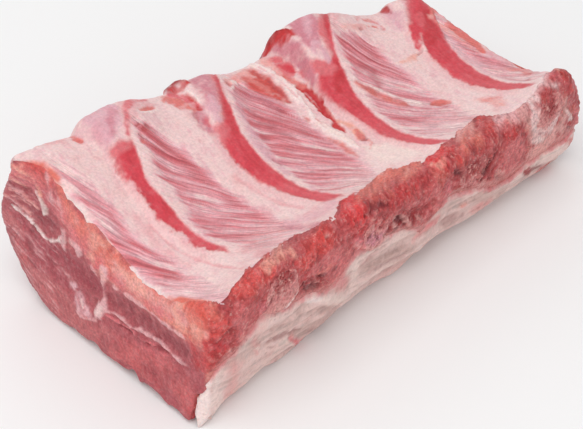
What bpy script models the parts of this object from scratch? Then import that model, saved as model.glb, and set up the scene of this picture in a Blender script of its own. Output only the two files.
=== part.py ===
"""Raw rack of ribs, lying on its outer side with the inner side of the rib cage upwards.

One piece of meat carries four curved rib bones, which run through it from the sawn front side to the
back side, and an inlaid fat cap covers its underside and the lower part of its front.
+X runs along the rack, across the ribs, and +Y from the sawn rib ends to the high back rim.
Shape values are millimetres, measured from the near bottom corner of the sawn side.
"""

import bpy
import numpy as np

MM = 0.001

# Overall sizes
LENGTH = 156.0
WIDTH = 77.0
HEIGHT = 42.0
EDGE_RADIUS = 2.0
CENTRE_X = 77.14
CENTRE_Y = 38.89
GAP = 0.35

# Heights along the rack: the sawn front edge, the hollow behind it and the high rim at the back.
# Each knot is (distance along the rack, value).
FRONT_EDGE_Z = (
    (0, 38.0), (10, 40.5), (22, 43.5), (36, 41.5), (50, 42.0), (63, 40.3), (83, 36.3),
    (97, 36.2), (115, 34.3), (130, 36.0), (142, 39.3), (149, 36.5), (154, 31.0),
)
HOLLOW_Z = ((0, 35.0), (50, 33.5), (100, 30.5), (153, 27.5))
HOLLOW_Y = ((0, 20.0), (150, 24.0))
RIM_Z = (
    (0, 51.0), (10, 49.3), (20, 46.3), (36, 44.6), (52, 42.2), (70, 38.2), (88, 34.2),
    (112, 36.0), (136, 32.4), (155, 31.6),
)
RIM_Y = ((0, 67.0), (60, 68.0), (110, 66.5), (150, 58.0))
RIM_ROUNDING = 0.05

# Outlines of the two long sides over the share of the height, as offsets in Y
FRONT_SIDE_Y = ((0.0, 3.3), (0.25, -1.2), (0.5, -3.6), (0.75, -4.0), (0.93, -3.0), (1.0, -0.5))
BACK_SIDE_Y = ((0.0, -2.0), (0.15, 3.2), (0.3, 7.6), (0.5, 9.6), (0.72, 6.0), (0.88, 2.2), (1.0, 0.0))
BACK_BEHIND_RIM = 4.5
FRONT_FOOT_Y = ((0, -1.0), (30, -0.6), (65, 0.6), (95, 0.4), (120, 0.0), (156, -1.0))
CORNER_REACH = 11.0
NEAR_CORNER = 0.75
FAR_CORNER = 0.35
NEAR_END_FOOT = -2.0
NEAR_END_TOP = 3.6
NEAR_END_UPRIGHT = 0.86
FAR_END_BULGE = 4.0

# Fat cap: the height of its upper edge on the sawn side, its thickness and how far back it reaches
FAT_EDGE_Z = (
    (0, 14.0), (4, 19.0), (10, 24.0), (18, 29.5), (27, 26.5), (36, 24.5), (45, 21.0), (54, 28.0),
    (63, 25.8), (72, 23.8), (83, 18.5), (93, 24.0), (107, 18.0), (118, 14.8), (130, 14.5), (152, 13.0),
)
FAT_EDGE_W = 0.5
FAT_FRONT = 3.4
FAT_BELOW = 3.6
FAT_BELOW_AT_NEAR_END = 1.3
FAT_BACK_EDGE = 1.3
FAT_REACH = 0.55
FAT_EDGE_FADE = 0.35
FAT_THIN_FROM = 0.1
NEAR_END_THIN = 18.0
LEDGE_W = 0.035
LEDGE_V = 0.02

# Ribs: where each one crosses the hollow, how far its ends bow along the rack, the height of its ridge
# on the back rim, how far that ridge tails off, and the height of the middle of its sawn end
RIBS = (
    {"x": 21.5, "bow_front": 7.0, "bow_back": 12.0, "ridge": 4.4, "tail": 1.8, "front_z": 35.0},
    {"x": 55.0, "bow_front": 9.0, "bow_back": 16.5, "ridge": 2.2, "tail": 1.15, "front_z": 33.8},
    {"x": 95.0, "bow_front": 9.0, "bow_back": 15.0, "ridge": 6.0, "tail": 2.9, "front_z": 28.4},
    {"x": 135.5, "bow_front": 2.5, "bow_back": 17.0, "ridge": 3.0, "tail": 1.4, "front_z": 29.8},
)
BOW_Y = 32.0
BOW_REACH = 35.0
BOW_LIMIT = 0.8
RIDGE_RISE = (-0.8, -0.35)
RIDGE_FALL = 0.35
RIDGE_HALF_WIDTH = ((0, 6.0), (30, 6.0), (50, 8.0), (70, 12.5))
RIDGE_FADE = ((0, 0.1), (20, 0.16), (35, 0.28), (50, 0.5), (62, 0.88), (70, 1.0))
BONE_HALF_WIDTH = ((0, 6.4), (25, 5.2), (60, 6.0), (80, 6.6))
BONE_HALF_THICKNESS = ((0, 6.2), (25, 4.6), (60, 4.3), (80, 4.3))
BONE_COVER = 1.7
BONE_PROUD = 0.2
BONE_DROP = 0.3
BONE_CLIMB = 0.6
BONE_LEVEL_Y = 12.0
SETTLING_ROUNDS = 6
BONE_SIDES = 14
BONE_STATIONS = 16
CUTTER_OVERRUN = 0.1

MATERIALS = {
    "muscle": ((0.62, 0.17, 0.17), 0.42),
    "fat": ((0.80, 0.64, 0.57), 0.48),
    "bone": ((0.63, 0.30, 0.29), 0.55),
}


def curve(x, knots):
    """Smooth curve through (place, value) knots, level beyond the first and the last."""
    places, values = np.array(knots, float).T
    slopes = np.gradient(values, places)
    x = np.clip(np.asarray(x, float), places[0], places[-1])
    i = np.clip(np.searchsorted(places, x, side="right") - 1, 0, len(places) - 2)
    span = places[i + 1] - places[i]
    t = (x - places[i]) / span
    start = values[i] * (1 + 2 * t) * (1 - t) ** 2 + slopes[i] * span * t * (1 - t) ** 2
    end = values[i + 1] * t * t * (3 - 2 * t) + slopes[i + 1] * span * t * t * (t - 1)
    return start + end


def step(low, high, x):
    """0 below low, 1 above high, smooth between."""
    t = np.clip((x - low) / (high - low), 0, 1)
    return t * t * (3 - 2 * t)


def mix(a, b, t):
    return a + (b - a) * t


# Shape of the whole rack


def rib_x(rib, y):
    """Place along the rack of the rib's middle line, which bows towards the far end at both its ends."""
    off = np.clip((y - BOW_Y) / BOW_REACH, None, BOW_LIMIT)
    return rib["x"] + np.where(off < 0, rib["bow_front"], rib["bow_back"]) * off**2


def ridges(x, y):
    """How far the ribs raise the upper side."""
    height = 0.0
    for rib in RIBS:
        off = (x - rib_x(rib, y)) / curve(y, RIDGE_HALF_WIDTH)
        height = height + rib["ridge"] * step(*RIDGE_RISE, off) * (1 - step(RIDGE_FALL, rib["tail"], off))
    return height * curve(y, RIDGE_FADE)


def top_z(x, y):
    """Height of the upper side: high at the sawn edge, hollow behind it, rising to the back rim."""
    hollow_y, rim_y = curve(x, HOLLOW_Y), curve(x, RIM_Y)
    edge, hollow, rim = curve(x, FRONT_EDGE_Z), curve(x, HOLLOW_Z), curve(x, RIM_Z)
    before = hollow + (edge - hollow) * np.clip((hollow_y - y) / hollow_y, 0, 1.3) ** 2
    behind = mix(hollow, rim, step(0, 1, (y - hollow_y) / (rim_y - hollow_y)))
    behind = behind - RIM_ROUNDING * np.clip(y - rim_y, 0, None) ** 2
    return np.where(y < hollow_y, before, behind) + ridges(x, y)


def front_y(x, w):
    """The sawn side, which is flatter towards the two end faces."""
    near = NEAR_CORNER * (1 - step(0, CORNER_REACH, x))
    far = FAR_CORNER * step(LENGTH - CORNER_REACH, LENGTH, x)
    return curve(w, FRONT_SIDE_Y) * (1 - near - far) + curve(x, FRONT_FOOT_Y) * (1 - w) ** 2


def back_y(x, w):
    return curve(x, RIM_Y) + BACK_BEHIND_RIM + curve(w, BACK_SIDE_Y)


def end_x(u, v, w):
    """Place along the rack for the share u of the length, between the two slightly uneven end faces."""
    near = mix(NEAR_END_FOOT, NEAR_END_TOP, w) * (1 - step(NEAR_END_UPRIGHT, 1.0, v))
    far = LENGTH - FAR_END_BULGE * (1 - np.sin(np.pi * w))
    return mix(near, far, u)


def height_at(x, v, w, top, floor):
    """Height for the share w, with the grid line FAT_EDGE_W held to the fat's upper edge at the front."""
    edge = mix(curve(x, FAT_EDGE_Z), floor + (top - floor) * FAT_EDGE_W, step(0, FAT_EDGE_FADE, v))
    below = mix(floor, edge, w / FAT_EDGE_W)
    above = mix(edge, top, (w - FAT_EDGE_W) / (1 - FAT_EDGE_W))
    return np.where(w < FAT_EDGE_W, below, above)


def rack_point(u, v, w, front_inset=0.0, floor=0.0):
    """A point of the rack for shares u of the length, v of the width and w of the height."""
    x = end_x(u, v, w)
    top = top_z(x, mix(front_y(x, 1.0), back_y(x, 1.0), v))
    y = mix(front_y(x, w) + front_inset, back_y(x, w), v)
    return np.stack([x, y, height_at(x, v, w, top, floor)], -1)


def rounded(shares):
    """Moves points of a box's surface, given as shares of its sides, onto the box with round edges."""
    size = np.array([LENGTH, WIDTH, HEIGHT])
    at = shares * size
    inner = np.clip(at, EDGE_RADIUS, size - EDGE_RADIUS)
    out = at - inner
    reach = np.linalg.norm(out, axis=1, keepdims=True)
    return (inner + out * EDGE_RADIUS / np.maximum(reach, 1e-9)) / size


# Meshes


def box_surface(a, b, c):
    """Points and outward quads of a closed box with grid lines at a, b and c."""
    shape = (len(a), len(b), len(c))
    outside = np.ones(shape, bool)
    outside[1:-1, 1:-1, 1:-1] = False
    number = np.full(shape, -1)
    number[outside] = np.arange(outside.sum())
    i, j, k = np.argwhere(outside).T
    points = np.stack([np.asarray(a)[i], np.asarray(b)[j], np.asarray(c)[k]], 1)

    def quads(sheet):
        corners = (sheet[:-1, :-1], sheet[1:, :-1], sheet[1:, 1:], sheet[:-1, 1:])
        return np.stack([corner.ravel() for corner in corners], 1)

    sides = [
        quads(number[:, :, -1]), quads(number[:, :, 0].T),
        quads(number[:, 0, :]), quads(number[:, -1, :].T),
        quads(number[-1, :, :]), quads(number[0, :, :].T),
    ]
    return points, np.concatenate(sides)


def add_object(name, points, faces, material):
    """A smooth-shaded object from points in rack millimetres."""
    mesh = bpy.data.meshes.new(name)
    placed = (points - np.array([CENTRE_X, CENTRE_Y, 0.0])) * MM
    mesh.from_pydata(placed.tolist(), [], [list(face) for face in faces])
    mesh.shade_smooth()
    mesh.materials.append(material)
    obj = bpy.data.objects.new(name, mesh)
    bpy.context.scene.collection.objects.link(obj)
    return obj


def make_material(name):
    colour, roughness = MATERIALS[name]
    material = bpy.data.materials.new(name)
    material.use_nodes = True
    shader = material.node_tree.nodes["Principled BSDF"]
    shader.inputs["Base Color"].default_value = (*colour, 1.0)
    shader.inputs["Roughness"].default_value = roughness
    shader.inputs["Metallic"].default_value = 0.0
    return material


def grid_lines(count, size, extra=()):
    """Shares of a side: closer together in the round edge, then even, plus the lines asked for."""
    edge = EDGE_RADIUS / size
    even = np.linspace(edge, 1 - edge, count)
    clear = 0.4 / (count - 1)
    even = [e for e in even if all(abs(e - x) > clear for x in extra)]
    return np.array(sorted({0.0, edge / 2, 1 - edge / 2, 1.0, *even, *extra}))


def fat_below(x, v):
    """Thickness of the fat under the meat, which is none behind the fat's back edge."""
    thick = mix(FAT_BELOW_AT_NEAR_END, FAT_BELOW, step(0, NEAR_END_THIN, x))
    return mix(thick, FAT_BACK_EDGE, step(FAT_THIN_FROM, FAT_REACH, v))


LENGTH_LINES = grid_lines(38, LENGTH)
WIDTH_LINES = grid_lines(17, WIDTH, (FAT_REACH, FAT_REACH + LEDGE_V))
HEIGHT_LINES = grid_lines(9, HEIGHT, (FAT_EDGE_W - LEDGE_W, FAT_EDGE_W))


def meat_point(shares):
    """A point of the meat, which is rebated at the front and below for the fat cap."""
    u, v, w = rounded(shares).T
    x = end_x(u, v, w)
    covered = shares[:, 1] < FAT_REACH + LEDGE_V / 2
    floor = np.where(covered, fat_below(x, v), 0.0)
    inset = np.where(shares[:, 2] < FAT_EDGE_W - LEDGE_W / 2, FAT_FRONT, 0.0)
    return rack_point(u, v, w, inset, floor)


def make_meat(material):
    shares, faces = box_surface(LENGTH_LINES, WIDTH_LINES, HEIGHT_LINES)
    return add_object("meat", meat_point(shares), faces, material)


def make_fat_cap(material):
    """The fat: an inner sheet that follows the meat, and an outer one that makes the rack's outline."""
    down = HEIGHT_LINES[HEIGHT_LINES < FAT_EDGE_W - LEDGE_W / 2][::-1]
    back = WIDTH_LINES[WIDTH_LINES < FAT_REACH + LEDGE_V / 2][1:]
    path = [(0.0, w) for w in down] + [(v, 0.0) for v in back]
    grid, faces = box_surface(LENGTH_LINES, np.arange(len(path)), (0, 1))
    index = grid[:, 1].astype(int)
    v, w = np.array(path)[index].T
    shares = np.stack([grid[:, 0], v, w], 1)
    outer = rack_point(*rounded(shares).T)
    inner = meat_point(shares)
    inner[:, 1] -= GAP * (v == 0)
    inner[:, 2] -= GAP * ((w == 0) | (index == 0))
    points = np.where(grid[:, 2:] > 0.5, inner, outer)
    return add_object("fat_cap", points, faces, material)


def bone_middle_z(rib, y):
    """Height of the bone's middle line, which keeps its cover below the upper side of the rack."""
    half_width = curve(y, BONE_HALF_WIDTH)
    middle_x = rib_x(rib, y)
    inside_y = np.clip(y, 0, curve(middle_x, RIM_Y))
    tops = [top_z(middle_x + share * half_width, inside_y) for share in (-0.8, -0.4, 0.0, 0.4, 0.8)]
    under_top = np.min(tops, axis=0) - BONE_COVER - curve(y, BONE_HALF_THICKNESS)
    behind = np.clip(y - curve(middle_x, RIM_Y), 0, None)
    from_sawn_end = rib["front_z"] + BONE_CLIMB * np.clip(y - BONE_LEVEL_Y, 0, None)
    return np.minimum(under_top, from_sawn_end) - BONE_DROP * behind


def bone_points(rib, grid, swell):
    """Points of a rib bone or, with a swell, of the slightly larger tunnel that holds it."""
    angle, s, share = grid.T
    across, up = np.cos(angle) * share, np.sin(angle) * share
    y = mix(0.0, WIDTH, s)
    for _ in range(SETTLING_ROUNDS):
        x = rib_x(rib, y) + across * (curve(y, BONE_HALF_WIDTH) + swell)
        z = bone_middle_z(rib, y) + up * (curve(y, BONE_HALF_THICKNESS) + swell)
        w_front = np.clip(z / curve(x, FRONT_EDGE_Z), 0, 1)
        w_back = np.clip(z / top_z(x, curve(x, RIM_Y)), 0, 1)
        y = mix(front_y(x, w_front) - BONE_PROUD, back_y(x, w_back) + BONE_PROUD, s)
    return np.stack([x, y, z], 1)


def tube(stations):
    """Grid of a closed tube: (angle, share of the length, share of the radius), and its faces."""
    angles = np.linspace(0, 2 * np.pi, BONE_SIDES, endpoint=False)
    rings = [(a, s, 1.0) for s in stations for a in angles]
    grid = np.array([*rings, (0.0, stations[0], 0.0), (0.0, stations[-1], 0.0)])
    faces = []
    last = len(rings) - BONE_SIDES
    for n in range(BONE_SIDES):
        m = (n + 1) % BONE_SIDES
        faces += [(r + m, r + n, r + n + BONE_SIDES, r + m + BONE_SIDES) for r in range(0, last, BONE_SIDES)]
        faces += [(len(rings), n, m), (len(rings) + 1, last + m, last + n)]
    return grid, faces


def make_bone(number, rib, material):
    grid, faces = tube(np.linspace(0, 1, BONE_STATIONS))
    return add_object(f"rib_bone_{number}", bone_points(rib, grid, 0.0), faces, material)


def cut_tunnel(meat, number, rib, material):
    """Cuts the bone's tunnel right through the meat."""
    stations = [-CUTTER_OVERRUN, *np.linspace(0, 1, BONE_STATIONS), 1 + CUTTER_OVERRUN]
    grid, faces = tube(stations)
    cutter = add_object(f"tunnel_{number}", bone_points(rib, grid, GAP), faces, material)
    cutter.hide_render = True
    cutter.display_type = "WIRE"
    cut = meat.modifiers.new(cutter.name, "BOOLEAN")
    cut.operation = "DIFFERENCE"
    cut.solver = "EXACT"
    cut.object = cutter


def main():
    for obj in list(bpy.data.objects):
        bpy.data.objects.remove(obj, do_unlink=True)
    muscle, fat, bone = (make_material(name) for name in MATERIALS)
    meat = make_meat(muscle)
    make_fat_cap(fat)
    for number, rib in enumerate(RIBS, 1):
        make_bone(number, rib, bone)
        cut_tunnel(meat, number, rib, bone)


main()
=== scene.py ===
"""Looks of a raw rack of ribs: pale inner skin over the ribs, sawn rib ends, moist meat and a fat cap.

Lengths are millimetres in the rack's own frame, as in the CAD source: +X along the rack from its near
end, +Y from the sawn side to the high back rim, +Z up. Meshes are moved to the model's frame at the end.
"""

import bpy
import numpy as np
from mathutils import Matrix, Vector


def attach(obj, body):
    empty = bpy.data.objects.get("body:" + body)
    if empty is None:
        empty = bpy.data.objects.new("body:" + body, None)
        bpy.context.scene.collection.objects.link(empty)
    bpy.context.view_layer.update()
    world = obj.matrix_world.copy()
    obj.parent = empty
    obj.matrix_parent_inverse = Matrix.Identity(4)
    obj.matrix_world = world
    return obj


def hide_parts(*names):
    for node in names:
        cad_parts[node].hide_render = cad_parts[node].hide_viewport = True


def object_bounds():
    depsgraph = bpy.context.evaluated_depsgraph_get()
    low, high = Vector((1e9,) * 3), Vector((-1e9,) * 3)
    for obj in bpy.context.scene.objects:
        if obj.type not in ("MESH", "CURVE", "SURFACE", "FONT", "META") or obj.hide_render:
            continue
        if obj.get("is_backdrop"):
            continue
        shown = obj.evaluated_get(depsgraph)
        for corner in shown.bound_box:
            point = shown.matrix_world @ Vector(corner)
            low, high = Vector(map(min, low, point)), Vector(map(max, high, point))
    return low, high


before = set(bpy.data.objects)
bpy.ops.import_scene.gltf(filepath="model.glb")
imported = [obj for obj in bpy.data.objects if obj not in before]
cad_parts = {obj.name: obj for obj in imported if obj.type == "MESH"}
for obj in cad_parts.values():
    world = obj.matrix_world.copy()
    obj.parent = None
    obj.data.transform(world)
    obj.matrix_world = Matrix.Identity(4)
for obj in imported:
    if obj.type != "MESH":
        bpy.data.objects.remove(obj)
CAD_LOW, CAD_HIGH = (np.array(corner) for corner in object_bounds())

MM = 0.001

# Shape of the rack, as in the CAD source

LENGTH = 156.0
WIDTH = 77.0
HEIGHT = 42.0
EDGE_RADIUS = 2.0
CENTRE_X = 77.14
CENTRE_Y = 38.89
FRONT_EDGE_Z = (
    (0, 38.0), (10, 40.5), (22, 43.5), (36, 41.5), (50, 42.0), (63, 40.3), (83, 36.3),
    (97, 36.2), (115, 34.3), (130, 36.0), (142, 39.3), (149, 36.5), (154, 31.0),
)
HOLLOW_Z = ((0, 35.0), (50, 33.5), (100, 30.5), (153, 27.5))
HOLLOW_Y = ((0, 20.0), (150, 24.0))
RIM_Z = (
    (0, 51.0), (10, 49.3), (20, 46.3), (36, 44.6), (52, 42.2), (70, 38.2), (88, 34.2),
    (112, 36.0), (136, 32.4), (155, 31.6),
)
RIM_Y = ((0, 67.0), (60, 68.0), (110, 66.5), (150, 58.0))
RIM_ROUNDING = 0.05
FRONT_SIDE_Y = ((0.0, 3.3), (0.25, -1.2), (0.5, -3.6), (0.75, -4.0), (0.93, -3.0), (1.0, -0.5))
BACK_SIDE_Y = ((0.0, -2.0), (0.15, 3.2), (0.3, 7.6), (0.5, 9.6), (0.72, 6.0), (0.88, 2.2), (1.0, 0.0))
BACK_BEHIND_RIM = 4.5
FRONT_FOOT_Y = ((0, -1.0), (30, -0.6), (65, 0.6), (95, 0.4), (120, 0.0), (156, -1.0))
CORNER_REACH = 11.0
NEAR_CORNER = 0.75
FAR_CORNER = 0.35
NEAR_END_FOOT = -2.0
NEAR_END_TOP = 3.6
NEAR_END_UPRIGHT = 0.86
FAR_END_BULGE = 4.0
FAT_EDGE_Z = (
    (0, 14.0), (4, 19.0), (10, 24.0), (18, 29.5), (27, 26.5), (36, 24.5), (45, 21.0), (54, 28.0),
    (63, 25.8), (72, 23.8), (83, 18.5), (93, 24.0), (107, 18.0), (118, 14.8), (130, 14.5), (152, 13.0),
)
FAT_EDGE_W = 0.5
FAT_EDGE_FADE = 0.35
RIBS = (
    {"x": 21.5, "bow_front": 7.0, "bow_back": 12.0, "ridge": 4.4, "tail": 1.8},
    {"x": 55.0, "bow_front": 9.0, "bow_back": 16.5, "ridge": 2.2, "tail": 1.15},
    {"x": 95.0, "bow_front": 9.0, "bow_back": 15.0, "ridge": 6.0, "tail": 2.9},
    {"x": 135.5, "bow_front": 2.5, "bow_back": 17.0, "ridge": 3.0, "tail": 1.4},
)
BOW_Y = 32.0
BOW_REACH = 35.0
BOW_LIMIT = 0.8
RIDGE_RISE = (-0.8, -0.35)
RIDGE_FALL = 0.35
RIDGE_HALF_WIDTH = ((0, 6.0), (30, 6.0), (50, 8.0), (70, 12.5))
RIDGE_FADE = ((0, 0.1), (20, 0.16), (35, 0.28), (50, 0.5), (62, 0.88), (70, 1.0))

# Colours, as 8-bit sRGB

COLOURS = {
    "fat": (236, 202, 200),
    "white_fat": (244, 222, 218),
    "cream": (240, 214, 208),
    "pink_fat": (230, 174, 176),
    "lilac": (228, 178, 184),
    "muscle_pale": (220, 144, 152),
    "muscle": (204, 110, 117),
    "muscle_dark": (182, 84, 92),
    "mauve": (206, 130, 142),
    "blue": (220, 168, 178),
    "rib_red": (211, 68, 80),
    "rib_dark": (192, 52, 60),
    "rib_deep": (158, 43, 46),
    "red_pink": (218, 112, 118),
    "orange": (224, 118, 104),
    "skin_orange": (218, 118, 112),
    "sore": (172, 84, 86),
    "patch": (204, 76, 70),
    "orange_deep": (214, 82, 70),
    "orange_pale": (236, 166, 150),
    "pale_orange": (234, 162, 156),
    "raw_red": (196, 54, 56),
    "wet_red": (218, 56, 58),
    "meat": (180, 67, 69),
    "meat_dark": (204, 96, 97),
    "meat_bright": (214, 72, 68),
    "end_mid": (174, 80, 87),
    "end_meat": (166, 68, 79),
    "end_deep": (146, 54, 64),
    "end_pale": (192, 102, 104),
    "bone": (206, 128, 126),
    "bone_pale": (216, 152, 146),
    "marrow": (112, 32, 38),
    "cap": (228, 194, 188),
    # The fat's grey and deep tones are painted shade, where it turns down, goes in under the rack and sinks
    # in creases; its pale tone is partly its own paler patches and partly painted light on raised folds and
    # ridges.
    "cap_shade_grey": (200, 164, 157),
    "cap_deep_shade": (170, 122, 118),
    "cap_pale_and_lit": (236, 208, 200),
    "cap_pink": (224, 156, 152),
}


def linear(colour):
    """Linear RGB of an 8-bit sRGB colour."""
    c = np.array(colour) / 255.0
    return np.where(c <= 0.04045, c / 12.92, ((c + 0.055) / 1.055) ** 2.4)


def curve(x, knots):
    """Smooth curve through (place, value) knots, level beyond the first and the last."""
    places, values = np.array(knots, float).T
    slopes = np.gradient(values, places)
    x = np.clip(np.asarray(x, float), places[0], places[-1])
    i = np.clip(np.searchsorted(places, x, side="right") - 1, 0, len(places) - 2)
    span = places[i + 1] - places[i]
    t = (x - places[i]) / span
    start = values[i] * (1 + 2 * t) * (1 - t) ** 2 + slopes[i] * span * t * (1 - t) ** 2
    end = values[i + 1] * t * t * (3 - 2 * t) + slopes[i + 1] * span * t * t * (t - 1)
    return start + end


def step(low, high, x):
    """0 below low, 1 above high, smooth between."""
    t = np.clip((x - low) / (high - low), 0, 1)
    return t * t * (3 - 2 * t)


def band(low, high, soft, x):
    """1 between low and high, smooth over soft at both ends."""
    return step(low - soft, low + soft, x) * (1 - step(high - soft, high + soft, x))


def mix(a, b, t):
    """a where t is 0, b where it is 1, and in proportion between."""
    return a + (b - a) * t


def rib_x(rib, y):
    """Place of a rib's bowed middle line along the rack."""
    off = np.clip((y - BOW_Y) / BOW_REACH, None, BOW_LIMIT)
    return rib["x"] + np.where(off < 0, rib["bow_front"], rib["bow_back"]) * off**2


def ridges(x, y):
    """Height of the ridges over the ribs, each steep on its near side."""
    height = 0.0
    for rib in RIBS:
        off = (x - rib_x(rib, y)) / curve(y, RIDGE_HALF_WIDTH)
        height = height + rib["ridge"] * step(*RIDGE_RISE, off) * (1 - step(RIDGE_FALL, rib["tail"], off))
    return height * curve(y, RIDGE_FADE)


def top_z(x, y):
    """Height of the upper side: hollow between the sawn edge and the back rim, with the ridges on it."""
    hollow_y, rim_y = curve(x, HOLLOW_Y), curve(x, RIM_Y)
    edge, hollow, rim = curve(x, FRONT_EDGE_Z), curve(x, HOLLOW_Z), curve(x, RIM_Z)
    before = hollow + (edge - hollow) * np.clip((hollow_y - y) / hollow_y, 0, 1.3) ** 2
    behind = mix(hollow, rim, step(0, 1, (y - hollow_y) / (rim_y - hollow_y)))
    behind = behind - RIM_ROUNDING * np.clip(y - rim_y, 0, None) ** 2
    return np.where(y < hollow_y, before, behind) + ridges(x, y)


def front_y(x, w):
    """Place of the sawn side at share w of its height, flatter towards the corners."""
    near = NEAR_CORNER * (1 - step(0, CORNER_REACH, x))
    far = FAR_CORNER * step(LENGTH - CORNER_REACH, LENGTH, x)
    return curve(w, FRONT_SIDE_Y) * (1 - near - far) + curve(x, FRONT_FOOT_Y) * (1 - w) ** 2


def back_y(x, w):
    """Place of the bulging back at share w of its height."""
    return curve(x, RIM_Y) + BACK_BEHIND_RIM + curve(w, BACK_SIDE_Y)


def end_x(u, v, w):
    """Place along the rack between its slanted near end and its bulging far end."""
    near = mix(NEAR_END_FOOT, NEAR_END_TOP, w) * (1 - step(NEAR_END_UPRIGHT, 1.0, v))
    far = LENGTH - FAR_END_BULGE * (1 - np.sin(np.pi * w))
    return mix(near, far, u)


def height_at(x, v, w, top, floor):
    """Height at share w, where the middle share follows the fat's edge on the sawn side."""
    edge = mix(curve(x, FAT_EDGE_Z), floor + (top - floor) * FAT_EDGE_W, step(0, FAT_EDGE_FADE, v))
    below = mix(floor, edge, w / FAT_EDGE_W)
    above = mix(edge, top, (w - FAT_EDGE_W) / (1 - FAT_EDGE_W))
    return np.where(w < FAT_EDGE_W, below, above)


def rack_point(u, v, w, front_inset=0.0, floor=0.0):
    """A point of the rack for shares u of the length, v of the width and w of the height."""
    x = end_x(u, v, w)
    top = top_z(x, mix(front_y(x, 1.0), back_y(x, 1.0), v))
    y = mix(front_y(x, w) + front_inset, back_y(x, w), v)
    return np.stack([x, y, height_at(x, v, w, top, floor)], -1)


def rounded(u, v, w):
    """Moves points of a box's surface, given as shares of its sides, onto the box with round edges."""
    size = np.array([LENGTH, WIDTH, HEIGHT])
    at = np.stack(np.broadcast_arrays(u, v, w), -1) * size
    inner = np.clip(at, EDGE_RADIUS, size - EDGE_RADIUS)
    out = at - inner
    reach = np.linalg.norm(out, axis=-1, keepdims=True)
    return np.moveaxis((inner + out * EDGE_RADIUS / np.maximum(reach, 1e-9)) / size, -1, 0)


# Noise and strokes. Every call gives its own seed first, and then the size of the lumps in mm


def lattice(cell, seed):
    """A random value from 0 to 1 for each whole-numbered cell."""
    n = np.full(cell.shape[:-1], seed * 974634777, np.int64)
    for axis, factor in enumerate((374761393, 668265263, 2147483629)[: cell.shape[-1]]):
        n = n ^ (cell[..., axis] * factor)
        n = ((n ^ (n >> 15)) * 2246822519) & 0xFFFFFFFF
    n = ((n ^ (n >> 13)) * 3266489917) & 0xFFFFFFFF
    return ((n ^ (n >> 16)) & 0xFFFFFF) / 0xFFFFFF


def noise(seed, size, *axes):
    """Smooth noise from -1 to 1 with lumps of a size in mm, or of one size for each axis."""
    place = np.stack(np.broadcast_arrays(*axes), -1) / np.array(size, float)
    cell = np.floor(place).astype(np.int64)
    share = place - cell
    share = share * share * (3 - 2 * share)
    total = 0.0
    for corner in np.ndindex(*(2,) * cell.shape[-1]):
        weight = np.prod(np.where(corner, share, 1 - share), axis=-1)
        total = total + weight * lattice(cell + np.array(corner), seed)
    return total * 2 - 1


def speckle(seed, size, a, b):
    """Round-looking noise from -1 to 1: two turned layers of the same size."""
    total = 0.0
    for layer in range(2):
        turn = 0.6 + 1.1 * layer + 0.37 * seed
        c, s = np.cos(turn), np.sin(turn)
        total = total + noise(seed + 500 * layer, size, a * c + b * s, b * c - a * s)
    return np.clip(total * 0.75, -1, 1)


def rough(seed, size, *axes, layers=3):
    """Noise of several sizes, each half the one before."""
    total, amount = 0.0, 1.0
    for layer in range(layers):
        at = np.array(size, float) / 2**layer
        part = speckle(seed + layer, at, *axes) if len(axes) == 2 else noise(seed + layer, at, *axes)
        total = total + amount * part
        amount *= 0.5
    return total / 1.6


STROKE_STEPS = 4
FAR_AWAY = -1e9


def stroke(a, b, knots, soft=0.5, ragged=0.0, seed=0):
    """How much each place (a, b) is inside a smooth stroke through (a, b, half width) knots."""
    knots = np.array(knots, float)
    shares = np.linspace(0, len(knots) - 1, STROKE_STEPS * (len(knots) - 1) + 1)
    line = [curve(shares, np.stack([np.arange(len(knots)), column], 1)) for column in knots.T]
    reach = knots[:, 2].max() + 2 * soft + 2 * ragged
    near = (a > line[0].min() - reach) & (a < line[0].max() + reach)
    near &= (b > line[1].min() - reach) & (b < line[1].max() + reach)
    inside = np.full(np.shape(a), FAR_AWAY)
    if near.any():
        pa, pb = a[near], b[near]
        depth = np.full(pa.shape, FAR_AWAY)
        for i in range(len(shares) - 1):
            (x0, x1), (y0, y1), (w0, w1) = (column[i : i + 2] for column in line)
            span = max((x1 - x0) ** 2 + (y1 - y0) ** 2, 1e-9)
            t = np.clip(((pa - x0) * (x1 - x0) + (pb - y0) * (y1 - y0)) / span, 0, 1)
            away = np.hypot(pa - mix(x0, x1, t), pb - mix(y0, y1, t))
            depth = np.maximum(depth, mix(w0, w1, t) - away)
        torn = speckle(seed, 2.4, pa, pb) + 0.6 * speckle(seed + 1, 1.0, pa, pb)
        inside[near] = depth + ragged * torn
    return step(-soft, soft, inside)


# How fast a lighter shade turns pale
PALE_SHARE = 0.55


class Coat:
    """Colour, raised height, wetness and grain for every point of a surface."""

    def __init__(self, shape, colour):
        """Starts level and dry, in one colour."""
        self.colour = np.tile(linear(COLOURS[colour]), (*shape, 1))
        self.height = np.zeros(shape)
        self.grain = np.zeros(shape)
        self.gloss = np.full(shape, 0.5)

    def add(self, mask, colour=None, height=0.0, grain=None, gloss=None):
        """Lays a colour, a height in mm, a grain and a gloss on the surface where mask is above 0."""
        if colour:
            self.colour += (linear(COLOURS[colour]) - self.colour) * mask[..., None]
        self.height = self.height + height * mask
        if grain is not None:
            self.grain = mix(self.grain, grain, mask)
        if gloss is not None:
            self.gloss = mix(self.gloss, gloss, mask)

    def shade(self, amount, pale="pink_fat"):
        """Blends towards the pale colour where amount is above 0, and darkens where it is below."""
        self.colour = self.colour * np.exp(np.minimum(amount, 0))[..., None]
        self.add(1 - np.exp(-PALE_SHARE * np.maximum(amount, 0)), pale)


# Upper side. In each table a mark is a colour, its strength, its raised height in mm, its softness and
# raggedness in mm, and (a, b, half width) knots

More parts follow.
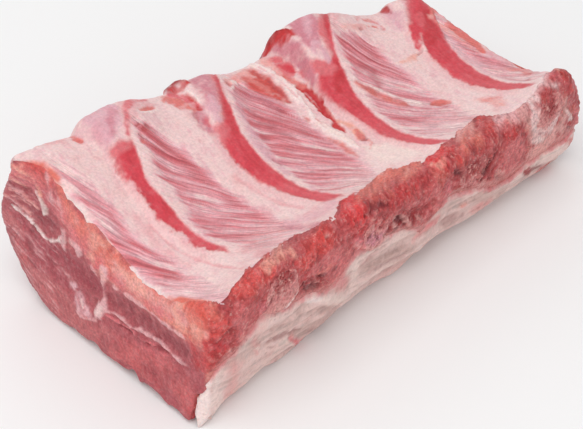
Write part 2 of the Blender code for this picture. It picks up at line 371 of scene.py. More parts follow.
# Edges of each rib's red band, as (y, x) knots
BANDS = (
    {
        "left": ((16, 24.8), (18, 23.6), (20, 22.4), (22, 21), (26, 21.3), (29, 21), (31, 20), (35, 18.8),
            (38, 19.4), (40, 20), (47, 20.3), (50, 20.2), (53, 20.8), (56, 22.6), (59, 26.4), (61, 29.4)),
        "right": ((16, 25.8), (17, 26.2), (19, 25.6), (21, 24.8), (25, 24.2), (30, 23.8), (35, 24.2),
            (40, 24.6), (45, 24.4), (47, 25), (50, 26.6), (53, 28), (56, 29.2), (59, 30), (61, 30.6)),
        "from_y": 15.5, "to_y": 58.5, "ragged": 0.8,
    },
    {
        "left": ((9, 60), (10, 58), (13, 57), (16, 56.2), (19, 55.2), (22, 54.3), (28, 52.3), (31, 51.6),
            (35, 51.3), (39, 51.2), (44, 52.2), (47, 53.2), (50, 55.6), (52.5, 59), (56, 61.6), (60, 64.4),
            (65, 67.4), (72, 71)),
        "right": ((9, 62.8), (10, 63), (12, 62.5), (14, 61.8), (17, 60.4), (20, 59.2), (25, 58.5),
            (30, 58.2), (38, 58.5), (42, 59.1), (46, 60), (49, 61.3), (52, 63), (55, 64.4), (61, 67),
            (67, 71), (72, 74)),
        "from_y": 9.4, "to_y": 80, "ragged": 0.35,
    },
    {
        "left": ((4, 102), (6, 99.5), (10, 97), (14, 95.2), (18, 94), (22, 93.2), (30, 92.6), (40, 92.6),
            (44, 92.9), (48, 93.8), (51, 97), (53, 104), (56, 105.8), (59, 107.5), (65, 112), (68, 114.5),
            (74, 119)),
        "right": ((4, 103), (6, 102), (10, 100.6), (14, 99), (18, 98), (22, 97.6), (30, 97.8), (34, 98.5),
            (38, 99.5), (42, 101), (46, 102.8), (50, 104.6), (54, 106.6), (60, 111.3), (67, 117.5),
            (74, 124)),
        "from_y": 4.4, "to_y": 80, "ragged": 0.3,
    },
    {
        "left": ((2, 136.6), (5, 135.6), (8, 135.3), (12, 134.6), (16, 133.6), (20, 132.8), (24, 132),
            (28, 131.6), (32, 132), (40, 133.4), (43, 135), (46, 135.6), (50, 137), (54, 140.5), (57, 143),
            (60, 146)),
        "right": ((2, 137.2), (5, 138), (9, 138.8), (18, 138.7), (26, 139.2), (30, 139.8), (34, 140.6),
            (38, 142), (42, 144), (46, 146.4), (50, 148.6), (54, 151), (57, 153)),
        "from_y": 2.0, "to_y": 80, "ragged": 0.4,
    },
)

# Striped muscle of each space: its fibres' steepness and origin in x, and knots of y, start, end and depth
# of colour
MUSCLES = (
    (0.5, 3.0, ((0, 9, 12, 0.1), (6, 7.5, 13, 0.3), (12, 6, 14, 0.5), (18, 5, 12.5, 0.62),
        (24, 4.5, 13, 0.6), (30, 3.8, 12, 0.6), (36, 3.8, 10.5, 0.65), (42, 4, 11, 0.6),
        (48, 4.5, 10.5, 0.55), (54, 6, 10.5, 0.45), (60, 6.5, 9, 0.15), (66, 7, 8, 0.0))),
    (1.0, 25.0, ((1, 38, 47, 0.2), (6, 33, 45, 0.4), (10, 30, 45, 0.62), (16, 29, 44.5, 0.68),
        (22, 28, 43.5, 0.62), (28, 27, 43, 0.66), (34, 28, 42, 0.64), (40, 29, 42, 0.76),
        (46, 29.4, 41.6, 0.86), (52, 31, 40.8, 0.86), (56, 32, 39.5, 0.66), (60, 33.5, 38, 0.35),
        (64, 34, 35, 0.0))),
    (1.05, 60.0, ((9, 66, 76, 0.2), (12, 64, 78, 0.4), (16, 63, 79, 0.52), (22, 62, 79.5, 0.6),
        (28, 62, 80.5, 0.6), (34, 62.5, 80, 0.68), (40, 63.5, 80.5, 0.74), (45, 64, 81, 0.84),
        (50, 65.5, 81, 0.82), (55, 67, 80.5, 0.68), (60, 69.5, 80, 0.58), (64, 72, 78, 0.35),
        (68, 74, 76, 0.1))),
    (0.95, 99.0, ((7, 108, 119, 0.3), (10, 103, 119.5, 0.46), (16, 101, 119.5, 0.52), (22, 100, 119, 0.56),
        (28, 100.5, 119.5, 0.54), (34, 102, 120.5, 0.56), (40, 104, 121, 0.68), (46, 106, 121, 0.8),
        (52, 109, 121.5, 0.78), (57, 111, 120, 0.55), (60, 113, 117, 0.1))),
    (0.5, 140.0, ((2, 140, 148, 0.3), (8, 140, 150, 0.4), (16, 141, 152, 0.5), (24, 142, 150, 0.55),
        (30, 143, 149, 0.45), (38, 143.5, 150, 0.5), (46, 144.5, 151, 0.5))),
)
# Colours from bare fat to the deepest muscle, and the fibres' angle along y
TONES = ((0.0, "fat"), (0.3, "lilac"), (0.65, "muscle_pale"), (1.0, "muscle"), (1.3, "muscle_dark"))
FIBRE_ANGLES = ((0, 40), (15, 40), (30, 43), (45, 52), (60, 65), (75, 70))

# Marks of the upper side, in (x, y)
SKIN_MARKS = (
    ("pink_fat", 0.7, 0.1, 1.2, 0.8, ((31, 60, 1.2), (34, 64, 2.2), (38, 68, 2.6), (45, 70, 1.6))),
    ("blue", 0.9, 0.15, 1.2, 0.8, ((24.5, 60, 1.6), (26, 64, 3.4), (29, 69, 5.0), (31, 75, 5.0))),
    ("mauve", 0.6, 0, 1.0, 0.6, ((26, 61, 0.6), (29, 64.5, 1.2), (32, 67.5, 1.4))),
    ("red_pink", 0.75, 0.1, 0.5, 0.3, ((29.8, 59, 0.5), (33, 63, 0.6), (36, 66.6, 0.9), (39.5, 69.4, 1.5),
        (45, 71, 1.6))),
    ("red_pink", 0.8, 0, 1.0, 0.8, ((22.8, 58.5, 0.4), (24, 57, 1.6), (26, 57.6, 0.8))),
    ("skin_orange", 0.8, -0.2, 0.4, 0.5, ((19.5, 69.5, 1.0), (19.3, 67.4, 1.2), (19, 66.4, 0.6))),
    ("pink_fat", 0.8, 0, 0.8, 0.5, ((11, 70, 0.8), (14, 69.8, 1.4), (16, 70.6, 0.8))),
    ("pink_fat", 0.7, 0.1, 0.6, 0.4, ((40, 67.4, 0.5), (44, 67.8, 0.7), (47, 67.4, 0.5))),
    ("skin_orange", 0.8, -0.35, 0.4, 0.3, ((40, 65.5, 0.4), (42.4, 65.7, 0.8), (45, 66.3, 0.5))),
    ("white_fat", 0.8, 0.35, 0.4, 0.2, ((39.4, 64.2, 0.3), (42, 64.2, 0.5), (45.4, 65, 0.3))),
    ("sore", 0.6, -0.4, 0.3, 0.4, ((33, 57.6, 0.5), (33.2, 56.4, 0.3))),
    ("sore", 0.6, -0.4, 0.3, 0.4, ((34.2, 60.2, 0.3), (35.6, 60.6, 0.5))),
    ("meat", 0.6, -0.3, 0.5, 0.5, ((34.8, 58.6, 0.6), (37.4, 59.4, 0.7))),
    ("skin_orange", 0.55, -0.2, 0.5, 0.6, ((32.6, 55.2, 0.6), (34, 54.2, 0.5))),
    ("pink_fat", 0.8, -0.1, 0.8, 0.4, ((47, 36, 0.5), (48.6, 28, 0.8), (49.6, 22, 0.8), (52, 15, 1.0))),
    ("lilac", 0.7, 0, 2.0, 0.6, ((44, 12, 1.5), (50, 8, 3.0), (57, 8, 2.4))),
    ("mauve", 0.5, -0.1, 0.9, 0.5, ((43, 13, 0.8), (44, 8, 1.2), (46, 3, 1.2))),
    ("pink_fat", 0.8, -0.15, 0.4, 0.3, ((16.4, 36, 0.3), (16.6, 27, 0.4), (18.4, 19, 0.5), (20.2, 10, 0.4),
        (20.6, 5, 0.4))),
    ("pink_fat", 0.6, 0, 1.6, 0.8, ((15, 40, 0.6), (14, 30, 1.4), (15, 20, 0.8))),
    ("lilac", 0.7, 0, 1.6, 0.6, ((10, 10, 1.2), (9, 4, 1.6), (9, 0, 1.6))),
    ("pink_fat", 0.6, 0, 1.4, 0.8, ((27, 13, 1.0), (30, 7, 2.4), (27, 4, 2.0))),
    ("red_pink", 0.75, 0, 1.4, 0.8, ((53.4, 47, 0.8), (55, 49.5, 2.2), (57.4, 50.6, 1.6))),
    ("rib_dark", 0.5, 0, 0.8, 0.4, ((58.6, 47, 0.8), (61, 52, 1.0), (64, 57, 0.8), (69, 65, 0.8))),
    ("mauve", 0.8, 0.1, 1.2, 0.7, ((60, 58, 0.8), (63, 62.5, 2.4), (65, 67, 3.4), (67, 73, 3.6))),
    ("blue", 0.9, 0.15, 0.9, 0.6, ((57.6, 53, 0.8), (60, 57, 1.6), (62, 60.4, 1.2))),
    ("mauve", 0.75, -0.1, 1.0, 1.1, ((52.6, 52, 0.8), (54, 56, 1.6), (56.5, 60, 1.6))),
    ("sore", 0.35, -0.2, 0.5, 0.9, ((52.4, 53.6, 0.4), (53.6, 57.6, 0.8), (55, 59.4, 0.6))),
    ("rib_red", 0.4, 0, 0.8, 0.6, ((54.2, 53.4, 0.7), (56.2, 56.6, 0.8))),
    ("skin_orange", 0.9, -0.1, 0.8, 0.8, ((52, 68.6, 1.6), (53.6, 65, 2.0), (55, 61.6, 1.2))),
    ("red_pink", 0.9, -0.1, 0.6, 0.8, ((54, 69.6, 0.8), (57, 66, 1.4), (57, 61, 1.0))),
    ("raw_red", 0.7, -0.3, 0.4, 0.6, ((58.2, 66.6, 0.5), (58, 62.6, 0.6), (57, 60.2, 0.4))),
    ("white_fat", 0.7, 0.3, 0.3, 0.3, ((59, 67.4, 0.3), (59.4, 64.6, 0.3), (58.8, 62, 0.2))),
    ("rib_deep", 0.95, 1.2, 0.7, 0.6, ((55.6, 70.4, 0.8), (58, 72, 1.8), (60.6, 70.6, 0.9))),
    ("raw_red", 0.8, 0, 0.5, 0.6, ((55.4, 70.4, 0.7), (57.4, 69.4, 0.9), (61.6, 69.4, 1.0))),
    ("raw_red", 0.6, -0.2, 0.3, 0.3, ((61.4, 6.2, 0.3), (63.4, 7.0, 0.5), (66, 7.6, 0.3))),
    ("mauve", 0.6, -0.2, 0.5, 0.9, ((61.4, 36, 0.6), (62.4, 33, 0.9), (64, 31, 0.7))),
    ("sore", 0.4, -0.3, 0.3, 0.5, ((61, 34.4, 0.2), (61.2, 31.6, 0.4))),
    ("blue", 0.6, 0, 1.2, 1.0, ((60, 28, 0.6), (60.6, 37, 1.4), (63, 44, 1.4), (66, 51, 1.2),
        (69.6, 58, 0.9))),
    ("mauve", 0.5, 0, 2.0, 0.8, ((76, 59, 1.2), (77.6, 55, 2.4), (79, 50, 1.2))),
    ("muscle_dark", 0.45, -0.1, 2.0, 0.8, ((71, 53, 1.0), (70, 47, 2.4), (72, 42, 1.6))),
    ("skin_orange", 0.7, -0.1, 0.7, 0.6, ((80.6, 32, 0.6), (81.2, 27, 0.9), (80.8, 23, 0.9),
        (80.8, 20.6, 0.4))),
    ("raw_red", 0.45, -0.2, 0.4, 0.4, ((81.8, 43.4, 0.4), (82.2, 41, 0.5))),
    ("pale_orange", 0.7, 0.1, 0.8, 0.8, ((72, 64, 1.2), (76, 67, 1.6), (80, 67, 1.6), (84, 69, 1.2))),
    ("white_fat", 0.8, 0.45, 0.5, 0.7, ((70.6, 61.4, 0.5), (73, 62.8, 0.7), (75.6, 66, 0.7))),
    ("sore", 0.55, -0.5, 0.4, 0.4, ((72.2, 64, 0.4), (73, 65, 0.6))),
    ("patch", 0.95, -0.25, 1.0, 0.4, ((80.8, 66, 1.4), (82.4, 60, 3.4), (83.4, 55, 2.4), (83, 51.6, 1.2),
        (83.8, 49.8, 0.3))),
    ("patch", 0.85, -0.25, 0.9, 0.4, ((85.6, 68.6, 1.2), (85.6, 63, 1.6), (85.4, 57, 1.2))),
    ("meat", 0.6, -0.1, 0.5, 0.8, ((85.6, 67.6, 0.6), (86, 61, 0.8), (84.8, 55, 0.6), (83.8, 50.4, 0.4))),
    ("pale_orange", 0.3, 0, 0.8, 0.9, ((82, 66, 1.2), (82.6, 61, 1.0), (82, 57, 0.6))),
    ("white_fat", 0.8, 0.5, 0.5, 0.8, ((88.4, 70.6, 1.4), (89, 65, 1.3), (88.8, 60, 1.0), (87.8, 55, 1.3),
        (86.8, 51, 1.1), (86, 46, 0.8), (84, 42, 1.0), (83.4, 38, 1.3), (83.4, 33, 1.5), (83.6, 28, 1.1),
        (84, 23, 0.8))),
    ("pink_fat", 0.6, -0.2, 0.3, 0.4, ((88.2, 68, 0.3), (88.6, 62, 0.3), (87.4, 54, 0.3), (86.2, 48, 0.3))),
    ("red_pink", 0.5, -0.2, 0.3, 0.4, ((83.8, 40, 0.3), (83.2, 35, 0.3), (83.6, 30, 0.3), (84.2, 25, 0.2))),
    ("cream", 0.8, 0, 0.8, 0.5, ((83.2, 38, 0.6), (83.4, 33, 0.9), (83.6, 26, 0.7))),
    ("cream", 0.7, 0, 1.6, 0.6, ((87, 20, 3.0), (88, 15, 4.6), (91, 10, 2.6))),
    ("raw_red", 0.95, -0.6, 0.4, 0.7, ((91.6, 53, 1.6), (90.6, 48, 1.9), (89.6, 43, 1.5), (88.2, 38, 1.2),
        (87.2, 34, 1.2), (86.4, 30.6, 0.6))),
    ("rib_dark", 0.8, -0.4, 0.4, 0.8, ((91.4, 50, 0.7), (90.2, 45, 0.8), (88.4, 40, 0.5))),
    ("pink_fat", 0.45, 0.3, 0.25, 0.4, ((91.2, 51, 0.3), (89.8, 46, 0.35), (88.6, 42, 0.3))),
    ("pale_orange", 0.4, 0.2, 0.3, 0.5, ((90.4, 42, 0.3), (89, 38, 0.5), (88, 34, 0.4))),
    ("skin_orange", 0.8, -0.1, 0.7, 0.8, ((91.6, 60, 1.0), (91.6, 56, 1.2), (92.6, 53.6, 0.8))),
    ("red_pink", 0.95, -0.1, 0.6, 0.7, ((94.6, 68, 1.4), (94.6, 63, 2.4), (93, 59, 1.2))),
    ("rib_red", 0.95, -0.2, 0.5, 0.6, ((94.4, 64, 1.2), (94.4, 61.4, 1.6), (94.8, 59.4, 0.6))),
    ("pale_orange", 0.7, 0.1, 0.8, 0.6, ((92.6, 70, 1.6), (92, 66, 1.2), (91, 61, 0.6))),
    ("red_pink", 0.95, 0, 0.9, 0.5, ((96.2, 57, 1.2), (97.6, 54, 2.6), (100, 51, 2.6), (102, 50, 1.4))),
    ("mauve", 0.85, 0.2, 0.6, 0.4, ((97.4, 70.6, 0.8), (98.6, 66, 1.5), (98.4, 60, 1.5), (96.4, 55, 1.2),
        (94.4, 51, 0.7))),
    ("orange_pale", 0.8, 0, 0.5, 0.5, ((88.8, 36, 0.4), (89.4, 32, 1.0), (88.8, 28, 1.8), (87.6, 26, 1.0))),
    ("skin_orange", 0.8, 0.4, 0.5, 0.5, ((89.6, 29, 0.8), (88, 26.8, 1.3), (87, 26, 0.6))),
    ("skin_orange", 0.6, 0.2, 0.5, 0.5, ((88.8, 24.2, 0.5), (88.6, 22.4, 0.5), (86.4, 21, 0.4))),
    ("sore", 0.55, -0.5, 0.3, 0.3, ((87.2, 25.2, 0.2), (88.4, 24.7, 0.4), (89.2, 24.8, 0.2))),
    ("raw_red", 0.9, 0, 0.6, 0.7, ((95.6, 72, 0.8), (98.4, 71, 1.5), (101, 67.6, 1.8), (103.6, 66.4, 1.0))),
    ("rib_deep", 0.8, 0.9, 0.6, 0.6, ((96, 73, 0.9), (99, 71.4, 0.9), (101.6, 68.6, 0.5))),
    ("mauve", 0.95, 0.1, 1.0, 0.6, ((102.6, 59, 1.6), (104.6, 63, 3.2), (107, 67, 4.2), (109, 72, 4.6))),
    ("blue", 0.7, 0, 0.9, 0.6, ((104, 62, 0.8), (107, 66, 1.2), (110, 70, 1.2))),
    ("blue", 0.95, 0.15, 0.7, 0.5, ((102.6, 53.4, 1.2), (102.6, 56, 2.0), (103.4, 58.6, 1.6))),
    ("cream", 0.4, 0, 0.6, 0.5, ((101.4, 54.8, 0.6), (102.4, 57, 0.8))),
    ("rib_dark", 0.75, 0, 0.9, 0.5, ((97, 43, 0.8), (100, 45.6, 1.6), (103, 48.6, 1.2),
        (104.6, 51.6, 0.7))),
    ("rib_dark", 0.4, -0.2, 0.8, 0.5, ((107.8, 58, 0.7), (112, 63, 1.2), (117, 68, 1.6), (121, 72, 1.6))),
    ("red_pink", 0.8, 0, 0.8, 0.6, ((106.4, 57, 0.4), (108.8, 61.4, 0.8), (112.4, 65.4, 0.8))),
    ("pink_fat", 0.8, 0.1, 1.2, 0.6, ((122, 70, 1.6), (118, 65, 1.2), (113.6, 60.6, 0.8))),
    ("red_pink", 0.55, -0.2, 0.7, 0.6, ((133, 71, 1.2), (129, 66, 0.9), (126, 63, 0.5))),
    ("skin_orange", 0.7, -0.3, 0.4, 0.7, ((127.4, 59.4, 0.5), (129.4, 58.6, 1.0), (131.6, 58, 0.5),
        (130.8, 56, 0.4))),
    ("skin_orange", 0.6, -0.2, 0.5, 0.7, ((129, 62.6, 0.6), (131.4, 61.4, 0.9), (131.8, 59, 0.4))),
    ("pale_orange", 0.5, 0, 0.8, 0.8, ((117, 60.4, 0.5), (121, 59.6, 1.0), (125, 60, 0.9))),
    ("sore", 0.4, -0.3, 0.3, 0.3, ((122.6, 58.6, 0.2), (123.6, 59, 0.3))),
    ("orange_pale", 0.55, 0.1, 0.6, 0.6, ((123.4, 42.2, 0.4), (127, 41.2, 0.9), (130, 42, 0.4))),
    ("sore", 0.35, -0.3, 0.3, 0.3, ((130.8, 41.7, 0.2), (133.4, 42.1, 0.3))),
    ("pale_orange", 0.6, 0, 1.2, 0.9, ((127, 14, 1.2), (129, 11, 2.0), (127, 6, 1.2))),
    ("skin_orange", 0.35, 0, 0.7, 0.8, ((126.6, 13, 0.6), (129, 12.4, 0.8), (130.6, 9, 0.6))),
    ("skin_orange", 0.8, 0.2, 0.9, 0.5, ((103.4, 42, 0.5), (105, 37.4, 1.3), (107.4, 32.6, 1.3),
        (110, 28, 0.9))),
    ("white_fat", 0.6, 0.2, 0.6, 0.4, ((104.4, 44, 0.5), (107.4, 38, 0.7), (110.6, 32, 0.6),
        (114.4, 26, 0.4))),
    ("muscle_dark", 0.4, -0.1, 1.2, 0.6, ((110, 48, 1.2), (112, 45, 2.6), (111.6, 41, 1.6),
        (109.6, 38.4, 0.9))),
    ("skin_orange", 0.8, -0.3, 0.4, 0.4, ((116.2, 24, 0.4), (118.4, 22.8, 1.2), (120.6, 20.6, 0.7))),
    ("sore", 0.4, -0.4, 0.3, 0.3, ((117.6, 20.4, 0.2), (119.6, 19.8, 0.3), (121.2, 20, 0.3))),
    ("rib_red", 0.9, -0.15, 0.5, 0.5, ((132.6, 42.8, 0.5), (134.2, 45.2, 1.1), (136.4, 47.6, 1.3),
        (138.4, 50, 1.6))),
    ("cream", 0.5, 0.1, 0.5, 0.4, ((133.6, 41.6, 0.6), (135.6, 44, 0.4), (138, 47, 0.3))),
    ("rib_dark", 0.7, -0.2, 1.0, 0.8, ((137.6, 42, 1.2), (141, 44.6, 2.4), (144.6, 48.6, 2.6),
        (147.4, 52.4, 1.4))),
    ("red_pink", 0.5, 0, 0.9, 0.7, ((141.6, 49.6, 1.0), (144, 53, 1.4))),
    ("skin_orange", 0.8, 0.2, 0.5, 0.6, ((148.6, 51.6, 0.9), (151, 53.6, 1.1), (153.6, 55, 0.9))),
    ("blue", 0.7, 0, 1.0, 0.7, ((135.4, 53, 1.0), (138, 57.6, 2.2), (139, 62, 1.6))),
    ("meat", 0.7, -0.3, 0.5, 0.8, ((139.6, 66.6, 0.8), (140, 64, 0.9), (139.4, 61.6, 0.4))),
    ("lilac", 0.8, 0, 1.2, 0.6, ((141.4, 18, 0.9), (142, 27, 1.9), (143, 36, 1.6), (146, 44, 0.8))),
    ("pale_orange", 0.6, 0.1, 0.6, 0.6, ((147.4, 51, 0.9), (147.8, 47, 0.9), (147.4, 40, 0.5),
        (147.8, 31, 0.5))),
    ("skin_orange", 0.95, -0.1, 0.6, 0.5, ((150.4, 46, 1.2), (150.6, 41, 1.9), (150.2, 36, 1.7),
        (149.2, 31, 0.9))),
    ("cream", 0.5, 0.15, 0.4, 0.5, ((143, 24, 0.4), (145, 20, 0.5), (147, 16, 0.5))),
    ("skin_orange", 0.5, 0, 0.8, 0.8, ((148, 19, 1.2), (150, 16, 1.2), (148, 12, 1.6))),
    ("sore", 0.35, -0.4, 0.6, 0.6, ((142.6, 13, 0.5), (142.6, 10, 0.9), (142, 8, 0.5))),
    ("orange", 0.95, -0.2, 0.8, 0.4, ((1.5, 66, 1.4), (2.6, 63, 2.4), (1.4, 58, 3.4), (-1, 53, 3.0))),
    ("rib_red", 0.6, 0, 0.9, 0.5, ((1.6, 64.6, 0.8), (1.4, 61, 1.4), (0, 57, 1.2))),
    ("orange", 1.0, -0.1, 0.6, 0.5, ((-1, 16, 3.6), (1, 11, 4.0), (3.2, 6, 3.8), (3.2, 0, 4.0),
        (3, -6, 4.0))),
    ("meat_bright", 0.6, 0, 1.4, 0.8, ((3, 4, 1.6), (2.6, -1, 2.6), (2, -6, 2.6))),
)

# Where the skin starts behind the torn sawn side, as (x, y) knots
SKIN_FRONT_Y = (
    (0, 12), (3.2, 11), (5.4, 7.5), (7.2, 3), (8.5, 0.2), (12, 0.4), (16, 1.0), (20, 2.6), (24, 3.4),
    (28, 2.6), (32, 4.6), (36, 6.0), (40, 5.4), (43, 2.6), (47, 1.2), (51, 1.4), (55, 4.6), (58, 6.4),
    (62, 5.8), (68, 7.0), (74, 8.8), (79, 9.4), (84, 7.4), (88, 5.4), (94, 4.2), (100, 5.0), (106, 6.2),
    (112, 7.0), (117, 8.4), (119.6, 7.0), (121, 3.0), (124, 0.8), (130, 0.0), (136, 0.2), (142, 1.6),
    (148, 3.4), (156, 5.0),
)


def fibre_place(x, y, steep, origin):
    """Places along and across the fibres of a space's muscle."""
    rows = np.linspace(-10, 90, 201)
    lean = 1 / np.tan(np.radians(curve(rows, FIBRE_ANGLES)))
    sweep = np.interp(y, rows, np.cumsum(lean) * (rows[1] - rows[0]))
    off = x - origin
    across = 0.8 * off + 0.018 * off * np.abs(off) + steep * sweep
    return (x - y) / np.sqrt(2), across


def paint_marks(coat, a, b, marks, seed, here=1.0):
    """Paints a table of marks in the plane of a and b."""
    mottle = 0.3 * speckle(seed, 2.0, a, b) + 0.25 * speckle(seed + 1, 0.9, a, b)
    for number, (colour, strength, height, soft, ragged, knots) in enumerate(marks):
        inside = here * stroke(a, b, knots, soft, ragged, seed + number)
        coat.add(inside * np.clip(1.15 * strength * (1 + mottle), 0, 1), colour)
        coat.height = coat.height + height * inside
    return coat


def tone_colour(tone):
    """Colour of the skin for a depth of tone."""
    places = [place for place, _ in TONES]
    colours = np.array([linear(COLOURS[name]) for _, name in TONES])
    return np.stack([np.interp(tone, places, channel) for channel in colours.T], -1)


def paint_muscles(coat, x, y):
    """Paints the fat and the striped muscle between the ribs, and returns the weave of its fibres."""
    tone = np.zeros(x.shape)
    weave = np.zeros((*x.shape, 3))
    warp = 1.3 * noise(11, 15, x, y) + 0.6 * noise(13, 6, x, y)
    for number, (steep, origin, knots) in enumerate(MUSCLES):
        low = -20.0 if number == 0 else curve(y, BANDS[number - 1]["right"])
        high = 200.0 if number == len(BANDS) else curve(y, BANDS[number]["left"])
        here = ((x >= low) & (x < high)).astype(float)
        start, end, depth = (curve(y, [(k[0], k[i]) for k in knots]) for i in (1, 2, 3))
        along, across = fibre_place(x, y, steep, origin)
        across = across + warp
        wide = noise(20 + number, (17, 2.3), along, across)
        thin = noise(30 + number, (12, 1.15), along, across)
        fine = noise(40 + number, (8, 0.6), along, across)
        shifted = x + 1.1 * thin + 1.0 * wide
        inside = band(start, end, 1.3, shifted)
        near = band(low, end + 1.5, 1.6, x + 0.6 * thin) * (1 - step(58, 68, y + 2 * thin))
        # Streaks of pale strands in the muscle; their paler lines are partly the strands' own colour and
        # partly painted highlight standing in for wet glints.
        streaks = 0.3 * wide + 0.32 * thin + 0.4 * fine
        blotch = 0.14 * rough(45, 5, x, y)
        near = near * step(4, 12, y + 2 * wide)
        stripes = (0.22 * near + 0.78 * inside) * (streaks + blotch)
        local = depth * inside + 0.06 * near * (1 - inside) + stripes
        tone = tone + here * np.clip(local, -0.1, 1.3)
        coat.height += here * (near * (0.3 * streaks + 0.1 * fine) - 0.5 * inside)
        weave[..., 0] += here * along
        weave[..., 1] += here * across
        weave[..., 2] += here * np.maximum(0.3 * near, inside)
    pinker = 0.14 * step(-0.1, 0.9, rough(31, 8, x, y)) + 0.12 * rough(34, 2.2, x, y)
    pinker = pinker + 0.16 * noise(36, (0.8, 3.2), x - 0.2 * y, y) + 0.08 * speckle(39, 0.7, x, y)
    tone = tone * (1 - 0.14 * step(26, 8, y))
    coat.colour = tone_colour(tone + pinker * (1 - step(0.2, 0.6, tone)))
    coat.add(0.3 * step(24, 8, y), "white_fat")
    coat.height += 0.2 * rough(37, 5, x, y) + 0.09 * speckle(38, 1.5, x, y)
    return weave


def paint_bands(coat, x, y, weave):
    """Paints the red band of each rib, and takes the fibres away there."""
    for number, edges in enumerate(BANDS):
        left, right = curve(y, edges["left"]), curve(y, edges["right"])
        stipple = speckle(65, 0.9, x, y) + 0.7 * speckle(69, 0.5, x, y)
        jag = edges["ragged"] * (rough(61 + number, 2.0, x, y) + 0.7 * stipple)
        soft = 0.8 + 1.6 * step(42, 58, y)
        inside = step(-soft, soft, x - left + jag)
        inside = inside * (1 - step(-0.5, 0.5, x - right + 0.2 * rough(64, 2, x, y) + 0.12 * stipple))
        from_y, to_y = edges["from_y"], edges["to_y"]
        low_end = step(from_y - 2.5, from_y + 3.5, y + 1.4 * rough(66, 1.6, x, y))
        high_end = 1 - step(to_y - 4, to_y + 1, y + 1.5 * speckle(66, 2, x, y))
        inside = inside * low_end * high_end
        blush = band(-2.6, 2.4, 1.6, x - left) * (1 - inside) * step(from_y, from_y + 6, y)
        coat.add(blush * 0.45 * (1 - step(50, 60, y)), "pink_fat")
        coat.add(inside, "rib_red", height=-0.25, gloss=0.7)
        pale = step(34, 22, y) * 0.25 + 0.35 * step(0.0, 0.8, rough(68, 1.6, x, y))
        coat.add(inside * np.clip(pale, 0, 1), "red_pink")
        coat.add(inside * 0.4 * step(0.0, 0.8, noise(67, (2.2, 6), x - left, y)), "rib_dark")
        coat.shade(inside * (0.09 * rough(70, 1.4, x, y) + 0.08 * noise(73, (0.6, 3.5), x - left, y)))
        weave[..., 2] *= 1 - inside


def paint_skin(x, y):
    """Coat of the upper side, and its weave: each fibre's place along and across, and how much it shows."""
    coat = Coat(x.shape, "fat")
    weave = paint_muscles(coat, x, y)
    paint_bands(coat, x, y, weave)
    paint_marks(coat, x, y, SKIN_MARKS, 1000)
    return coat, weave


# Sawn side, in (x, z)

